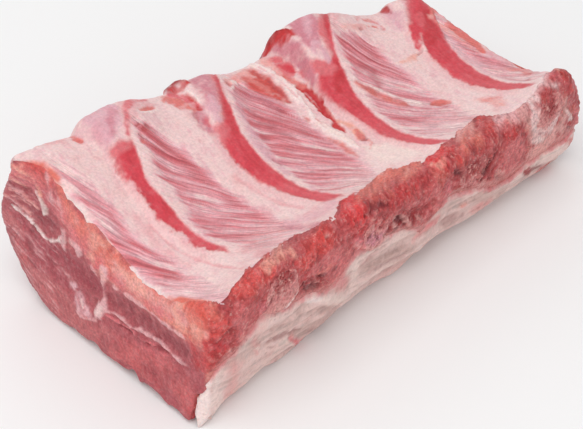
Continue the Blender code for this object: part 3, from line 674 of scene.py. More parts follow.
FRONT_MARKS = (
    ("orange", 0.8, 0.2, 1.6, 1.0, ((-4, 44, 3.0), (0, 42, 4.0), (4, 39, 2.4))),
    ("meat_bright", 0.7, 0.2, 1.4, 1.0, ((2, 41, 2.0), (2.4, 36, 2.4), (3, 32, 3.0), (6, 36, 2.0))),
    ("raw_red", 0.75, 0.2, 1.2, 1.0, ((4, 29, 2.4), (2, 25, 3.6), (3, 21, 2.6))),
    ("rib_dark", 0.5, -0.2, 0.8, 0.9, ((0, 29, 0.8), (5, 28.6, 1.2), (7.5, 24, 0.8))),
    ("bone_pale", 0.7, 0.3, 0.3, 0.5, ((0.8, 26.4, 0.4), (2, 25.6, 0.3))),
    ("bone_pale", 0.8, 0.4, 0.3, 0.5, ((7.2, 26, 0.6), (7.8, 24.6, 0.3))),
    ("marrow", 0.7, -0.5, 0.3, 0.4, ((8.4, 26.6, 0.4), (8.6, 24.4, 0.4))),
    ("orange", 0.8, 0, 0.8, 0.6, ((1, 19, 1.6), (4, 18, 1.4))),
    ("meat_dark", 0.85, 0.7, 1.2, 0.6, ((12, 37.4, 1.8), (12.6, 33, 3.4), (13.4, 28, 3.8),
        (12.4, 24.8, 2.0))),
    ("meat", 0.7, 0.1, 1.2, 0.8, ((14.4, 38, 1.4), (15, 34, 1.2), (15.6, 30, 0.8))),
    ("bone_pale", 0.35, 0.1, 0.4, 0.6, ((12, 31.4, 0.5), (13.6, 32.6, 0.7), (14.6, 31.8, 0.4))),
    ("red_pink", 0.7, 0.1, 1.2, 0.8, ((17.6, 36, 1.2), (18.4, 32, 1.6), (19, 28, 1.8))),
    ("meat_bright", 0.7, 0.2, 0.9, 0.9, ((11, 41, 0.8), (16, 41.4, 1.0), (20, 42.4, 1.0), (24, 43, 0.8))),
    ("orange_pale", 0.6, 0.1, 0.7, 0.9, ((22, 43.2, 0.6), (28, 42.8, 0.9), (32, 41.6, 0.7))),
    ("bone_pale", 0.7, 0.1, 1.2, 0.8, ((19.4, 30, 1.2), (23, 29, 1.6), (27.6, 29, 1.4), (31.6, 31.6, 1.0))),
    ("white_fat", 0.8, 0.4, 0.3, 0.4, ((20.4, 27.2, 0.2), (23, 27, 0.3), (25.6, 27.2, 0.4), (28, 28.2, 0.3),
        (31, 30.6, 0.3))),
    ("white_fat", 0.8, 0.4, 0.3, 0.3, ((26.2, 27.4, 0.5), (27.2, 25.4, 0.5), (28.6, 22, 0.3))),
    ("marrow", 0.8, -0.7, 0.3, 0.5, ((27.4, 26.8, 0.3), (29.6, 27.8, 0.6), (31.2, 29, 0.5))),
    ("marrow", 0.5, -0.5, 0.3, 0.4, ((21, 26.3, 0.2), (23, 26, 0.4), (25, 26.4, 0.2))),
    ("meat_dark", 0.9, 0.8, 1.4, 0.9, ((37, 34.6, 2.0), (41, 33.4, 3.6), (45.6, 32.6, 4.8),
        (47, 28.6, 3.6))),
    ("meat_dark", 0.9, 0.6, 1.2, 0.8, ((42, 29.4, 2.4), (46, 27, 2.4), (51, 27.4, 1.8), (50.4, 31, 2.0))),
    ("meat_bright", 0.75, 0.2, 1.2, 1.0, ((32.8, 38.6, 1.0), (35.6, 38.4, 1.8), (40, 39.4, 1.6),
        (45, 39.8, 1.2))),
    ("raw_red", 0.6, 0, 0.8, 0.8, ((33, 36, 0.8), (34.6, 33.4, 0.9))),
    ("end_pale", 0.5, 0, 1.2, 0.8, ((51.4, 26.6, 1.4), (52, 29.4, 1.0))),
    ("rib_deep", 0.6, -0.3, 1.4, 1.0, ((34, 31, 1.2), (37, 28.6, 1.8), (41, 27, 1.4))),
    ("marrow", 0.75, -0.7, 0.4, 0.7, ((33.4, 32, 0.6), (34.6, 29.4, 0.8), (37, 28, 0.9), (39, 26.4, 0.7))),
    ("marrow", 0.6, -0.6, 0.4, 0.6, ((38, 31.8, 0.3), (41, 29.8, 0.5), (45, 29.4, 0.4))),
    ("bone_pale", 0.6, 0.3, 0.3, 0.7, ((35, 29, 0.4), (37, 30.4, 0.4), (38.4, 28.8, 0.4))),
    ("orange", 0.5, 0.2, 0.4, 0.6, ((38.4, 31.8, 0.3), (41, 31.2, 0.4), (43, 31.8, 0.3))),
    ("bone_pale", 0.7, 0.2, 0.3, 0.4, ((43, 40.2, 0.3), (44, 40.3, 0.3))),
    ("wet_red", 0.95, 0.2, 0.9, 0.9, ((51, 41.4, 0.9), (53.4, 42, 2.0), (55.6, 41, 2.2), (58, 39.8, 0.9))),
    ("wet_red", 0.5, 0.1, 1.2, 0.9, ((53, 38.6, 1.4), (55, 36.6, 1.6), (57, 38, 1.4))),
    ("marrow", 0.6, -0.6, 0.4, 0.7, ((57.4, 39.2, 0.4), (60, 39.2, 0.5), (63, 39.2, 0.8), (65.6, 38, 0.9),
        (68, 37.4, 0.4))),
    ("meat_dark", 0.4, 0, 1.4, 1.0, ((59, 37, 1.4), (62, 35, 1.8), (60.4, 32.6, 0.8))),
    ("red_pink", 0.85, 0.3, 1.2, 0.7, ((53.4, 33.6, 0.9), (55.4, 30.8, 1.6), (57, 28.4, 1.2))),
    ("pale_orange", 0.6, 0.3, 0.6, 0.5, ((52.8, 33, 0.4), (55, 30.6, 0.6), (57.4, 28.4, 0.5))),
    ("mauve", 0.9, 0.3, 1.0, 0.7, ((59.4, 31, 1.8), (61, 28.8, 2.6), (63.4, 29.4, 1.6))),
    ("bone_pale", 0.85, 0.3, 0.5, 0.5, ((57.4, 29.6, 0.4), (58.6, 27.4, 0.7), (61, 26, 0.7),
        (64, 26.4, 0.8), (65, 28.8, 0.5))),
    ("rib_deep", 0.7, -0.3, 1.6, 1.2, ((66, 27, 2.0), (70, 29, 2.6), (75, 27.5, 2.8), (80, 27, 2.0))),
    ("marrow", 0.85, -0.8, 0.5, 0.9, ((66, 28.6, 1.0), (66.4, 26.6, 1.2), (68, 25.6, 0.7))),
    ("marrow", 0.8, -0.8, 0.5, 0.9, ((69.6, 31.6, 0.6), (70.8, 30.2, 0.9), (72, 28.6, 0.6))),
    ("marrow", 0.75, -0.7, 0.5, 0.9, ((70, 26.4, 0.9), (72.6, 26.6, 1.0), (73.6, 25, 0.7))),
    ("rib_deep", 0.9, -0.5, 0.6, 0.7, ((76, 30, 0.8), (76.8, 28.4, 1.4), (78, 27.2, 0.9))),
    ("marrow", 0.6, -0.5, 0.4, 0.8, ((80.6, 27.4, 0.4), (82.6, 27, 0.7), (84, 27.6, 0.3))),
    ("bone_pale", 0.7, 0.3, 0.4, 0.8, ((69, 32, 0.5), (68.6, 29.4, 0.4), (69.8, 27.6, 0.4))),
    ("bone_pale", 0.6, 0.3, 0.4, 0.8, ((72.8, 30.4, 0.6), (74, 28, 0.5), (75.4, 25.4, 0.5))),
    ("bone_pale", 0.5, 0.2, 0.4, 0.8, ((79, 26, 0.5), (80, 24, 0.5), (82, 23.6, 0.4))),
    ("marrow", 0.8, -0.5, 0.3, 0.4, ((64.4, 25.2, 0.3), (67.4, 24.4, 0.4), (71, 22.8, 0.3), (73, 22, 0.2))),
    ("orange", 0.9, 0.3, 1.4, 1.0, ((59, 43, 1.6), (65, 42, 2.2), (71, 41.4, 2.6), (77, 40.4, 2.2),
        (82, 39, 1.6))),
    ("pale_orange", 0.7, 0.1, 0.8, 0.8, ((60, 43.8, 0.9), (66, 43.6, 1.0), (72, 42.6, 0.7))),
    ("orange_pale", 0.4, 0.2, 0.4, 0.8, ((81.4, 39, 0.4), (83, 37.8, 0.7), (84.4, 36.8, 0.3))),
    ("orange_pale", 0.4, 0.2, 0.4, 0.6, ((77, 39.4, 0.4), (78.6, 38, 0.4))),
    ("raw_red", 0.6, 0, 1.0, 1.0, ((68, 37.4, 0.7), (74, 36.4, 1.0), (80, 35.6, 0.9), (86, 35.2, 0.7))),
    ("wet_red", 0.9, 0.2, 0.9, 1.0, ((86.8, 38.6, 1.0), (89.4, 37.4, 1.8), (93, 37, 1.8),
        (96.6, 36.6, 1.4))),
    ("orange_pale", 0.4, 0.2, 0.3, 0.7, ((87, 36.8, 0.3), (90, 35.6, 0.5), (92.4, 36.2, 0.3))),
    ("meat_dark", 0.8, 0.6, 1.2, 0.8, ((86, 31.4, 1.6), (87.4, 28, 2.6), (87, 25, 1.8))),
    ("meat_dark", 0.5, 0.2, 1.4, 1.0, ((76, 33, 2.0), (81, 32, 2.4), (82, 24, 1.8))),
    ("red_pink", 0.85, 0.1, 1.2, 0.8, ((91.6, 30.4, 0.9), (92, 26.6, 1.9), (92.4, 22.6, 1.6))),
    ("rib_deep", 0.65, -0.3, 1.6, 1.2, ((95, 31, 1.6), (99, 30, 2.6), (104, 30, 2.4), (109, 26, 2.6),
        (111, 23, 2.0))),
    ("rib_deep", 0.5, -0.2, 1.2, 1.0, ((97, 24, 1.6), (102, 22, 1.8))),
    ("marrow", 0.7, -0.6, 0.5, 0.9, ((94.6, 32.6, 0.4), (96.4, 31, 0.9), (97.6, 29.4, 0.6))),
    ("rib_deep", 0.7, -0.5, 0.5, 0.9, ((97, 24, 0.7), (99, 22.6, 1.0), (102, 21.4, 0.8))),
    ("marrow", 0.85, -0.8, 0.5, 0.9, ((107, 25.6, 0.8), (108.6, 24.6, 1.5), (110, 26.6, 0.8))),
    ("marrow", 0.7, -0.6, 0.4, 0.8, ((106.6, 22.8, 0.5), (109, 21.4, 0.6), (112, 20, 0.5))),
    ("marrow", 0.7, -0.6, 0.4, 0.7, ((111.6, 28.6, 0.5), (111.8, 27, 0.8))),
    ("bone_pale", 0.6, 0.2, 0.5, 0.7, ((104.6, 20.6, 0.6), (108, 20.6, 0.7), (106, 17.6, 0.6))),
    ("marrow", 0.6, -0.6, 0.3, 0.5, ((113.4, 20.4, 0.4), (114.8, 18.4, 0.5), (116, 16.8, 0.3))),
    ("bone_pale", 0.7, 0.4, 0.4, 0.5, ((113.4, 22.6, 0.4), (115, 20.4, 0.6), (116.8, 18.6, 0.4))),
    ("pale_orange", 0.8, 0.2, 1.2, 0.9, ((100, 39, 1.6), (104, 38.6, 2.2), (106.6, 37, 1.2))),
    ("orange", 0.7, 0.2, 1.2, 0.9, ((101, 36, 1.2), (106, 35.4, 1.2), (108, 36, 0.9))),
    ("meat", 0.9, 0.7, 1.0, 0.7, ((109, 38.6, 1.6), (111.6, 36.4, 2.8), (113.6, 34, 2.0),
        (111, 32.6, 1.0))),
    ("meat_bright", 0.5, 0, 1.4, 0.8, ((110, 38, 1.2), (113, 36, 1.6), (115, 34.8, 0.8))),
    ("meat_dark", 0.85, 0.7, 1.4, 0.8, ((117, 26.6, 1.8), (121, 26.4, 3.6), (123, 22.6, 3.6),
        (122, 18, 2.8), (125.6, 15.6, 1.8))),
    ("meat_dark", 0.6, 0.3, 1.2, 0.8, ((115, 24, 1.4), (117.4, 21.4, 1.6), (119, 17.6, 1.4))),
    ("raw_red", 0.6, 0.2, 1.0, 0.8, ((118.4, 32, 1.2), (120.6, 32, 1.8), (121, 30, 1.2))),
    ("pale_orange", 0.7, 0.3, 0.5, 0.6, ((115, 33.6, 0.4), (118, 35, 0.6), (122, 34, 0.7),
        (124, 32.4, 0.5))),
    ("red_pink", 0.8, 0.1, 1.0, 0.8, ((125, 34.6, 1.2), (128.4, 32, 1.4), (129.4, 28, 1.4),
        (131, 25.6, 1.0))),
    ("orange", 0.6, 0.1, 0.9, 0.8, ((127, 30.4, 0.9), (130, 28.6, 1.2), (132, 27, 0.7))),
    ("pink_fat", 0.95, 0.2, 1.4, 1.0, ((116, 35.6, 1.4), (121, 35.6, 2.6), (126, 36.6, 3.4), (131, 39, 2.6),
        (137, 41, 2.4))),
    ("red_pink", 0.7, 0.1, 1.4, 1.0, ((142, 40, 1.6), (147, 36.6, 2.6), (151, 30, 2.8), (154, 22, 2.6),
        (155, 14, 2.0))),
    ("bone_pale", 0.8, 0.2, 1.4, 0.9, ((126, 35.4, 1.4), (127.6, 31, 1.6), (129.6, 26, 2.0),
        (133, 21.6, 2.4))),
    ("bone_pale", 0.8, 0.2, 1.4, 0.9, ((134, 20.6, 2.4), (140, 20.6, 2.4), (144.4, 24, 1.6),
        (144.6, 31, 1.0))),
    ("fat", 0.75, 0.1, 0.9, 0.8, ((141, 37, 1.0), (136.4, 38.6, 1.5), (132, 36.6, 1.7), (130.2, 32, 1.7),
        (130.6, 27.4, 1.6), (133.4, 24.2, 1.6), (138, 24, 1.5), (142, 26.6, 1.2))),
    ("white_fat", 0.5, 0.2, 0.7, 0.6, ((129.4, 24, 0.7), (132, 22.8, 1.0), (135, 21.4, 0.8))),
    ("meat", 0.85, 0.4, 1.0, 0.6, ((143, 39, 1.0), (146.4, 38, 1.8), (147, 33.6, 1.8), (148.6, 29.6, 1.5),
        (151, 27, 1.8), (154.6, 21.6, 1.8))),
    ("meat_bright", 0.5, 0.1, 1.0, 0.7, ((144.6, 38.4, 0.9), (147, 36, 1.0), (147, 32.6, 0.9))),
    ("orange_pale", 0.6, 0.1, 0.7, 0.7, ((139.6, 42.6, 0.9), (142, 41.4, 0.9), (144.4, 39.6, 0.6))),
    ("white_fat", 0.6, 0.3, 0.5, 0.6, ((145, 26.6, 0.5), (147.6, 23.4, 0.8), (150.6, 19.6, 0.6))),
    ("bone_pale", 0.7, 0.2, 0.7, 0.8, ((143, 21, 1.0), (145.6, 19, 1.2), (144, 16.6, 0.8))),
    ("marrow", 0.8, -0.5, 0.4, 0.5, ((147.4, 18.8, 0.4), (149.4, 17.4, 0.7), (151, 16.4, 0.5))),
    ("raw_red", 0.6, 0, 0.7, 0.8, ((142.6, 15.6, 0.8), (146, 14, 0.9), (150.6, 14.6, 1.0), (154, 13, 0.8))),
    ("pale_orange", 0.8, 0.1, 1.2, 0.8, ((130, 18.6, 1.6), (134, 17, 2.6), (138.6, 16.4, 2.4),
        (141, 20, 1.2))),
)


def paint_front(coat, x, z, here):
    """Paints the sawn side; here is 1 on that side and 0 away from it."""
    lump = rough(201, 4.5, x, z)
    fleck = speckle(203, 1.3, x, z) + 0.6 * speckle(208, 0.6, x, z)
    grit = speckle(204, 0.5, x, z)
    coat.add(here, "meat", gloss=0.8, grain=0.8)
    coat.add(here * step(0.0, 0.8, lump) * 0.4, "orange")
    coat.add(here * step(0.1, 0.8, -lump) * 0.4, "meat_dark")
    coat.height += here * (0.3 * lump + 0.2 * fleck + 0.18 * grit)
    paint_marks(coat, x, z, FRONT_MARKS, 1200, here)
    streak = noise(205, (0.8, 2.6), x + 0.3 * z, z)
    coat.shade(here * (0.22 * rough(206, 1.7, x, z) + 0.18 * fleck + 0.26 * grit + 0.12 * streak))
    pale = here * step(0.5, 1.0, fleck) * step(-0.2, 0.6, rough(210, 6, x, z))
    coat.add(pale * 0.4, "orange_pale", height=0.12, gloss=1.0)
    coat.add(here * step(0.5, 1.0, -speckle(207, 1.1, x, z) - 0.3 * grit) * 0.35, "rib_deep", height=-0.15)


# Near end, in (y, z)

END_MARKS = (
    ("end_pale", 0.8, 0.2, 2.0, 1.2, ((73, 16, 4), (66, 12, 6), (58, 9, 7), (49, 7, 6), (42, 5, 4))),
    ("end_meat", 0.6, 0, 2.0, 1.0, ((72, 19, 3), (64, 17, 3.4), (56, 16, 3), (50, 15, 2))),
    ("raw_red", 0.35, 0, 1.6, 1.0, ((73.6, 17.6, 1.6), (71, 16, 2.0), (72, 13.6, 1.2))),
    ("meat_dark", 0.6, 0.3, 1.8, 1.0, ((34, 4, 2.0), (28, 8, 4.0), (18, 9, 5.0), (8, 11, 4.6),
        (4, 6, 3.4))),
    ("end_deep", 0.5, 0, 1.8, 1.0, ((20, 8, 2.0), (17, 8, 2.6), (15, 6, 2.0), (8, 14, 1.4))),
    ("end_pale", 0.5, 0.2, 1.6, 0.9, ((40, 10, 1.6), (36, 9, 2.8), (33, 6, 2.6))),
    ("red_pink", 0.35, 0, 0.8, 0.8, ((24, 13.4, 0.6), (20, 13.8, 0.9), (14, 13.4, 0.5))),
    ("end_pale", 0.7, 0.2, 1.4, 1.0, ((79, 24, 2.6), (76, 24, 2.8), (72, 23, 1.6))),
    ("end_meat", 0.9, -0.1, 1.6, 0.8, ((73, 27, 1.2), (66, 24, 2.4), (58, 23.4, 3.0), (48, 24, 3.6),
        (42, 23, 3.0))),
    ("end_deep", 0.45, -0.2, 1.4, 0.6, ((56, 24, 1.6), (49, 23.4, 2.6), (42, 22.6, 2.4))),
    ("end_deep", 0.6, -0.3, 1.6, 0.8, ((36, 22, 2.0), (28, 21.8, 2.7), (18, 21.8, 2.8), (8, 21.4, 2.2))),
    ("orange", 0.95, 0.2, 1.6, 0.9, ((54, 39, 3.0), (46, 36, 4.6), (38, 33, 4.6), (28, 31, 4.0),
        (16, 31, 4.4), (6, 32, 5.0), (-2, 36, 5.0))),
    ("orange", 0.95, 0.2, 1.2, 0.8, ((12, 34, 3.0), (5, 38, 3.6), (-2, 41, 4.0))),
    ("pale_orange", 0.8, 0.1, 1.6, 1.0, ((34, 32, 2.2), (26, 31, 2.8), (16, 31, 2.8), (9, 32, 2.2))),
    ("red_pink", 0.7, 0.1, 1.6, 1.0, ((50, 34, 2.0), (43, 31, 3.0), (36, 28.6, 2.2), (26, 28, 1.4),
        (14, 28.4, 1.2))),
    ("orange_deep", 0.7, 0, 1.6, 1.0, ((8, 37, 1.2), (3, 38, 2.4), (-1, 37, 3.0), (-3, 42, 2.4))),
    ("raw_red", 0.75, 0.1, 1.4, 0.9, ((3, 29, 1.8), (-1, 28, 3.0), (-1, 22, 2.6))),
    ("raw_red", 0.6, 0, 1.0, 0.8, ((8, 26.4, 0.8), (4, 25, 1.8), (2, 21, 1.8))),
    ("orange", 0.9, 0.1, 1.4, 0.8, ((60, 51, 2.6), (63, 47, 3.6), (66, 47, 2.6), (70, 45.6, 1.8),
        (74, 45.6, 1.6))),
    ("meat_bright", 0.75, 0.1, 1.2, 0.7, ((66, 47.6, 1.6), (63, 46.6, 2.4), (60.6, 44.6, 1.8))),
    ("orange", 0.7, 0.1, 1.0, 0.8, ((56, 50, 1.8), (55.4, 45, 2.2), (53, 42, 1.6))),
    ("red_pink", 0.7, 0.2, 0.7, 0.7, ((58.4, 49, 0.5), (57.6, 45.6, 0.5), (55.6, 42.4, 0.4))),
    ("orange_pale", 0.7, 0.2, 0.4, 0.5, ((74.6, 47, 0.4), (70, 46.4, 0.4), (68, 47.6, 0.3))),
    ("orange_pale", 0.7, 0.3, 0.4, 0.5, ((75.4, 42.4, 0.4), (71, 43.4, 0.5), (67, 42.4, 0.4),
        (64.4, 41.4, 0.2))),
    ("raw_red", 0.6, -0.2, 0.4, 0.5, ((73.6, 44, 0.3), (70, 44.8, 0.4), (67, 46, 0.3))),
    ("red_pink", 0.5, 0, 2.4, 1.0, ((73, 43, 3.4), (64, 42, 4.6), (56, 38, 3.6))),
    ("orange_pale", 0.8, 0.3, 0.3, 0.4, ((76, 45, 0.3), (72, 46.2, 0.4), (68, 45, 0.3), (65, 42.4, 0.3),
        (63, 39.6, 0.4))),
    ("orange_pale", 0.7, 0.3, 0.3, 0.4, ((77, 41.6, 0.3), (73, 41, 0.4), (69, 39.6, 0.4), (66, 37, 0.3))),
    ("pink_fat", 0.7, 0.3, 0.3, 0.4, ((78, 38, 0.3), (74, 37.6, 0.3), (70, 35.4, 0.3), (66.6, 32, 0.3))),
    ("pink_fat", 0.6, 0.2, 0.3, 0.4, ((78.6, 34, 0.3), (75, 32.4, 0.3), (71, 30.6, 0.3))),
    ("pink_fat", 0.6, 0.2, 0.4, 0.6, ((61, 47, 0.4), (59.6, 44, 0.5), (58.6, 40, 0.4))),
    ("pink_fat", 0.6, 0.2, 0.4, 0.6, ((56.6, 44, 0.4), (55, 40, 0.5), (54.6, 36, 0.4))),
    ("end_deep", 0.7, -0.3, 1.2, 0.8, ((72, 34, 1.2), (66, 32, 2.2), (60, 31.4, 1.8), (57.4, 33, 1.0))),
    ("end_deep", 0.5, -0.2, 0.8, 0.6, ((75, 38.4, 0.8), (69, 38.8, 1.2), (65, 37, 0.9))),
    ("red_pink", 0.6, 0, 1.2, 1.0, ((77.6, 36, 1.0), (75.4, 40, 1.0), (73, 43, 0.8))),
    ("red_pink", 0.45, 0, 1.2, 1.0, ((57, 38, 1.6), (53, 36, 1.8), (50, 33, 1.4))),
    ("cream", 0.95, 0.5, 0.4, 0.4, ((65, 40, 0.4), (63.6, 38, 0.8), (62, 36.4, 1.3), (61.6, 35.4, 1.2),
        (62.4, 33.6, 0.5))),
    ("mauve", 0.5, 0, 0.5, 0.4, ((64.4, 38.4, 0.4), (63.4, 36.4, 0.7), (62.6, 34.8, 0.4))),
    ("pale_orange", 0.85, 0.35, 0.3, 0.4, ((74.4, 36.4, 0.3), (71, 37, 0.4), (67.6, 35, 0.4),
        (65, 34.2, 0.3))),
    ("pale_orange", 0.6, 0.2, 0.3, 0.4, ((77, 33, 0.3), (73, 34.4, 0.3), (68, 33.6, 0.2))),
    ("pale_orange", 0.5, 0.2, 0.3, 0.4, ((72, 31.6, 0.4), (69, 31, 0.5), (68, 30, 0.3))),
    ("white_fat", 0.85, 0.4, 0.3, 0.6, ((75, 30.4, 0.3), (71, 29.4, 0.5), (67, 28.4, 0.5), (63, 27, 0.6),
        (59.6, 26.8, 0.5), (56.4, 28.6, 0.5), (54, 30.4, 0.6))),
    ("pink_fat", 0.9, 0.35, 0.4, 0.5, ((54.4, 32.4, 0.8), (54.6, 29.4, 0.8), (53.8, 26.8, 0.7))),
    ("pink_fat", 0.9, 0.3, 0.7, 0.7, ((51.4, 30.8, 0.9), (48.6, 30.4, 1.3), (48.4, 27.8, 0.5))),
    ("pink_fat", 0.7, 0.2, 0.4, 0.6, ((43, 27.6, 0.6), (42, 26, 0.5), (41.4, 25.6, 0.2))),
    ("pink_fat", 0.5, 0.15, 0.4, 0.4, ((66, 20.4, 0.2), (60, 20.8, 0.3), (56, 20, 0.2), (52, 18.8, 0.2))),
    ("pink_fat", 0.4, 0.1, 0.4, 0.5, ((76, 21.6, 0.3), (73, 21, 0.4), (71, 20.4, 0.2))),
    ("lilac", 0.75, 0.1, 0.9, 0.9, ((51, 17, 0.8), (48, 15.6, 1.6), (46.4, 12, 2.0), (44, 11, 1.0))),
    ("end_meat", 0.7, -0.2, 0.5, 0.8, ((49.4, 16.2, 0.4), (46, 17.4, 0.8), (43.6, 15.4, 0.9))),
    ("white_fat", 0.7, 0.2, 0.3, 0.4, ((47, 14, 0.4), (46, 12.4, 0.5), (46.4, 11, 0.3))),
    ("pink_fat", 0.8, 0.25, 0.3, 0.4, ((49, 9.6, 0.2), (46.4, 8.9, 0.3), (43.4, 9.8, 0.3), (41, 11, 0.3))),
    ("pink_fat", 0.95, 0.4, 0.4, 0.5, ((38, 29, 1.6), (38.4, 26.4, 0.8), (38.8, 24, 0.5), (38, 21, 0.6),
        (38, 18.4, 1.2), (39, 15.8, 1.6), (40.2, 13.4, 1.5), (41, 12, 0.5))),
    ("cream", 0.7, 0.1, 0.7, 0.4, ((38.4, 17, 0.5), (40, 14, 1.0))),
    ("pink_fat", 0.8, 0.2, 0.4, 0.6, ((34, 25.8, 0.5), (28, 26, 0.4), (20, 26, 0.4), (9, 25.8, 0.4),
        (6, 25.4, 0.2))),
    ("pink_fat", 0.85, 0.4, 0.3, 0.5, ((37, 16.4, 0.5), (33, 17.6, 0.5), (27, 17.2, 0.4), (22, 18.6, 0.7),
        (16, 18.8, 0.5), (9, 17.8, 0.4), (5, 18.2, 0.3))),
    ("red_pink", 0.8, 0.3, 0.3, 0.5, ((37, 15.2, 0.5), (30, 15.8, 0.4), (24, 16, 0.4), (18, 16.2, 0.3),
        (11, 16.4, 0.3))),
    ("end_deep", 0.9, -0.6, 0.3, 0.4, ((32, 14.8, 0.2), (28, 15.2, 0.4), (24.6, 15, 0.3))),
    ("end_deep", 0.9, -0.6, 0.3, 0.4, ((21, 15.4, 0.3), (16.6, 16.6, 0.5), (13.6, 17.4, 0.3))),
    ("end_deep", 0.7, -0.4, 0.3, 0.5, ((41.4, 15, 0.3), (40.8, 17, 0.4), (40.8, 18.4, 0.2))),
    ("orange", 0.6, 0.1, 0.6, 0.6, ((-1, 9, 0.9), (-1, 5, 1.2), (2, 3, 0.9))),
)

# Height of the notched lower edge of the near end, along y
END_FLOOR_Z = (
    (-3, 0.3), (0, 0.4), (5, 0.5), (10, 0.8), (12, 0.2), (14, 1.4), (18, 2.2), (21.4, 1.2), (22.6, 0.4),
    (24, 3.0), (28, 1.4), (34, 1.2), (38, 0.9), (41, 2.2), (45, 1.0), (50, 1.3), (55, 0.3), (60, 0.8),
    (64, 1.6), (80, 1.0),
)


def paint_near_end(coat, y, z, here):
    """Paints the near end; here is 1 on it and 0 away."""
    grain_up = noise(301, (0.8, 4), y - 0.4 * z, z)
    coat.add(here, "end_mid", gloss=0.6, grain=0.35)
    coat.height += here * (0.22 * rough(303, 4, y, z) + 0.03 * grain_up)
    paint_marks(coat, y, z, END_MARKS, 1400, here)
    speck = speckle(305, 0.8, y, z)
    strands = noise(310, (5.0, 0.7), y + 0.5 * z, z - 0.35 * y) * step(50, 58, y)
    coat.height += here * 0.12 * strands
    fibres_up = noise(314, (0.55, 2.4), y - 0.5 * z, z) * band(18.5, 25, 1.0, z) * (1 - step(36, 40, y))
    coat.shade(here * (0.16 * rough(306, 3.2, y, z) + 0.1 * grain_up + 0.14 * speck + 0.26 * strands))
    coat.height += here * 0.08 * speck
    coat.shade(here * 0.2 * fibres_up)
    coat.add(here * step(0.4, 0.9, strands) * (1 - step(40, 46, z)) * 0.5, "pink_fat", height=0.1)
    patches = rough(317, 3.0, y, z) + 0.4 * noise(318, (0.7, 3.0), y - 0.5 * z, z)
    orange = here * step(24, 30, z) * (1 - step(44, 56, y))
    coat.add((here - orange) * step(0.2, 0.9, patches) * 0.35, "end_pale")
    coat.add((here - orange) * step(0.2, 0.9, -patches) * 0.35, "end_deep")
    coat.add(orange * step(0.1, 0.9, rough(307, 1.7, y, z)) * 0.4, "orange_deep", height=0.1)
    coat.add(orange * step(-0.1, 0.6, -rough(309, 3.2, y, z)) * 0.7, "orange_pale", height=0.15)
    coat.add(orange * step(0.0, 0.8, rough(316, 4.0, y, z)) * 0.5, "red_pink")
    coat.add(orange * step(0.2, 0.9, rough(312, 1.0, y, z)) * 0.3, "pink_fat", height=0.08)


# Meshes


def grid_faces(columns, rows, closed=False):
    """Quads of a grid of points numbered column by column; closed joins its last column to its first."""
    number = np.arange(columns * rows).reshape(columns, rows)
    if closed:
        number = np.concatenate([number, number[:1]])
    a, b, c, d = number[:-1, :-1], number[1:, :-1], number[1:, 1:], number[:-1, 1:]
    return np.stack([part.ravel() for part in (a, b, c, d)], 1).tolist()


def joined(ring, other):
    """Quads between two closed rings of point numbers."""
    pairs = zip(ring, np.roll(ring, -1), np.roll(other, -1), other)
    return [[int(number) for number in quad] for quad in pairs]


def grid_normals(points, closed=False):
    """Outward unit normals of a grid of points, whose columns run left to right as seen from outside."""
    if closed:
        along = np.roll(points, -1, 0) - np.roll(points, 1, 0)
    else:
        along = np.gradient(points, axis=0)
    normal = np.cross(along, np.gradient(points, axis=1))
    return normal / np.maximum(np.linalg.norm(normal, axis=-1, keepdims=True), 1e-9)


def smooth_over(values, closed, rounds):
    """Evens out a grid of values, to keep normals steady at the corners."""
    for _ in range(rounds):
        if closed:
            values = (np.roll(values, 1, 0) + 2 * values + np.roll(values, -1, 0)) / 4
        inner = (values[:, :-2] + 2 * values[:, 1:-1] + values[:, 2:]) / 4
        values = np.concatenate([values[:, :1], inner, values[:, -1:]], 1)
    return values


def make_piece(name, points, faces, coat_values, material, replaced):
    """A smooth mesh piece from rack millimetres, with its colours, wetness and grain as attributes."""
    placed = (points - np.array([CENTRE_X, CENTRE_Y, 0.0])) * MM
    placed = np.clip(placed, CAD_LOW, CAD_HIGH)
    mesh = bpy.data.meshes.new(name)
    mesh.from_pydata(placed.tolist(), [], faces)
    mesh.shade_smooth()
    colour, gloss, grain = coat_values
    paint = mesh.attributes.new("paint", "FLOAT_COLOR", "POINT")
    paint.data.foreach_set("color", np.concatenate([colour, np.ones((len(colour), 1))], 1).ravel())
    for key, values in (("gloss", gloss), ("grain", grain)):
        attribute = mesh.attributes.new(key, "FLOAT", "POINT")
        attribute.data.foreach_set("value", values.ravel())
    mesh.materials.append(material)
    piece = bpy.data.objects.new(name, mesh)
    bpy.context.scene.collection.objects.link(piece)
    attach(piece, "root")
    if replaced:
        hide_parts(*replaced)
    return piece


def flat(coat, extra=0):
    """A coat's values as flat lists, the last repeated for extra hidden points."""
    def padded(values, width):
        """Rows of width values, with the last repeated."""
        values = values.reshape(-1, width)
        return np.concatenate([values, np.repeat(values[-1:], extra, 0)])
    return padded(coat.colour, 3), padded(coat.gloss, 1)[:, 0], padded(coat.grain, 1)[:, 0]


def border(columns, rows):
    """Point numbers round the border of a grid, column by column."""
    number = np.arange(columns * rows).reshape(columns, rows)
    return np.concatenate([number[:-1, 0], number[-1, :-1], number[:0:-1, -1], number[0, :0:-1]])


# Materials


def node(tree, kind, values=None, **settings):
    """Adds a shader node with its settings and the values of its sockets."""
    made = tree.nodes.new(kind)
    for key, value in settings.items():
        setattr(made, key, value)
    for key, value in (values or {}).items():
        made.inputs[key].default_value = value
    return made


def noise_texture(tree, place, scale, detail, roughness=0.5):
    """Output of a noise texture."""
    values = {"Scale": scale, "Detail": detail, "Roughness": roughness}
    made = node(tree, "ShaderNodeTexNoise", values)
    tree.links.new(place, made.inputs["Vector"])
    return made.outputs["Fac"]


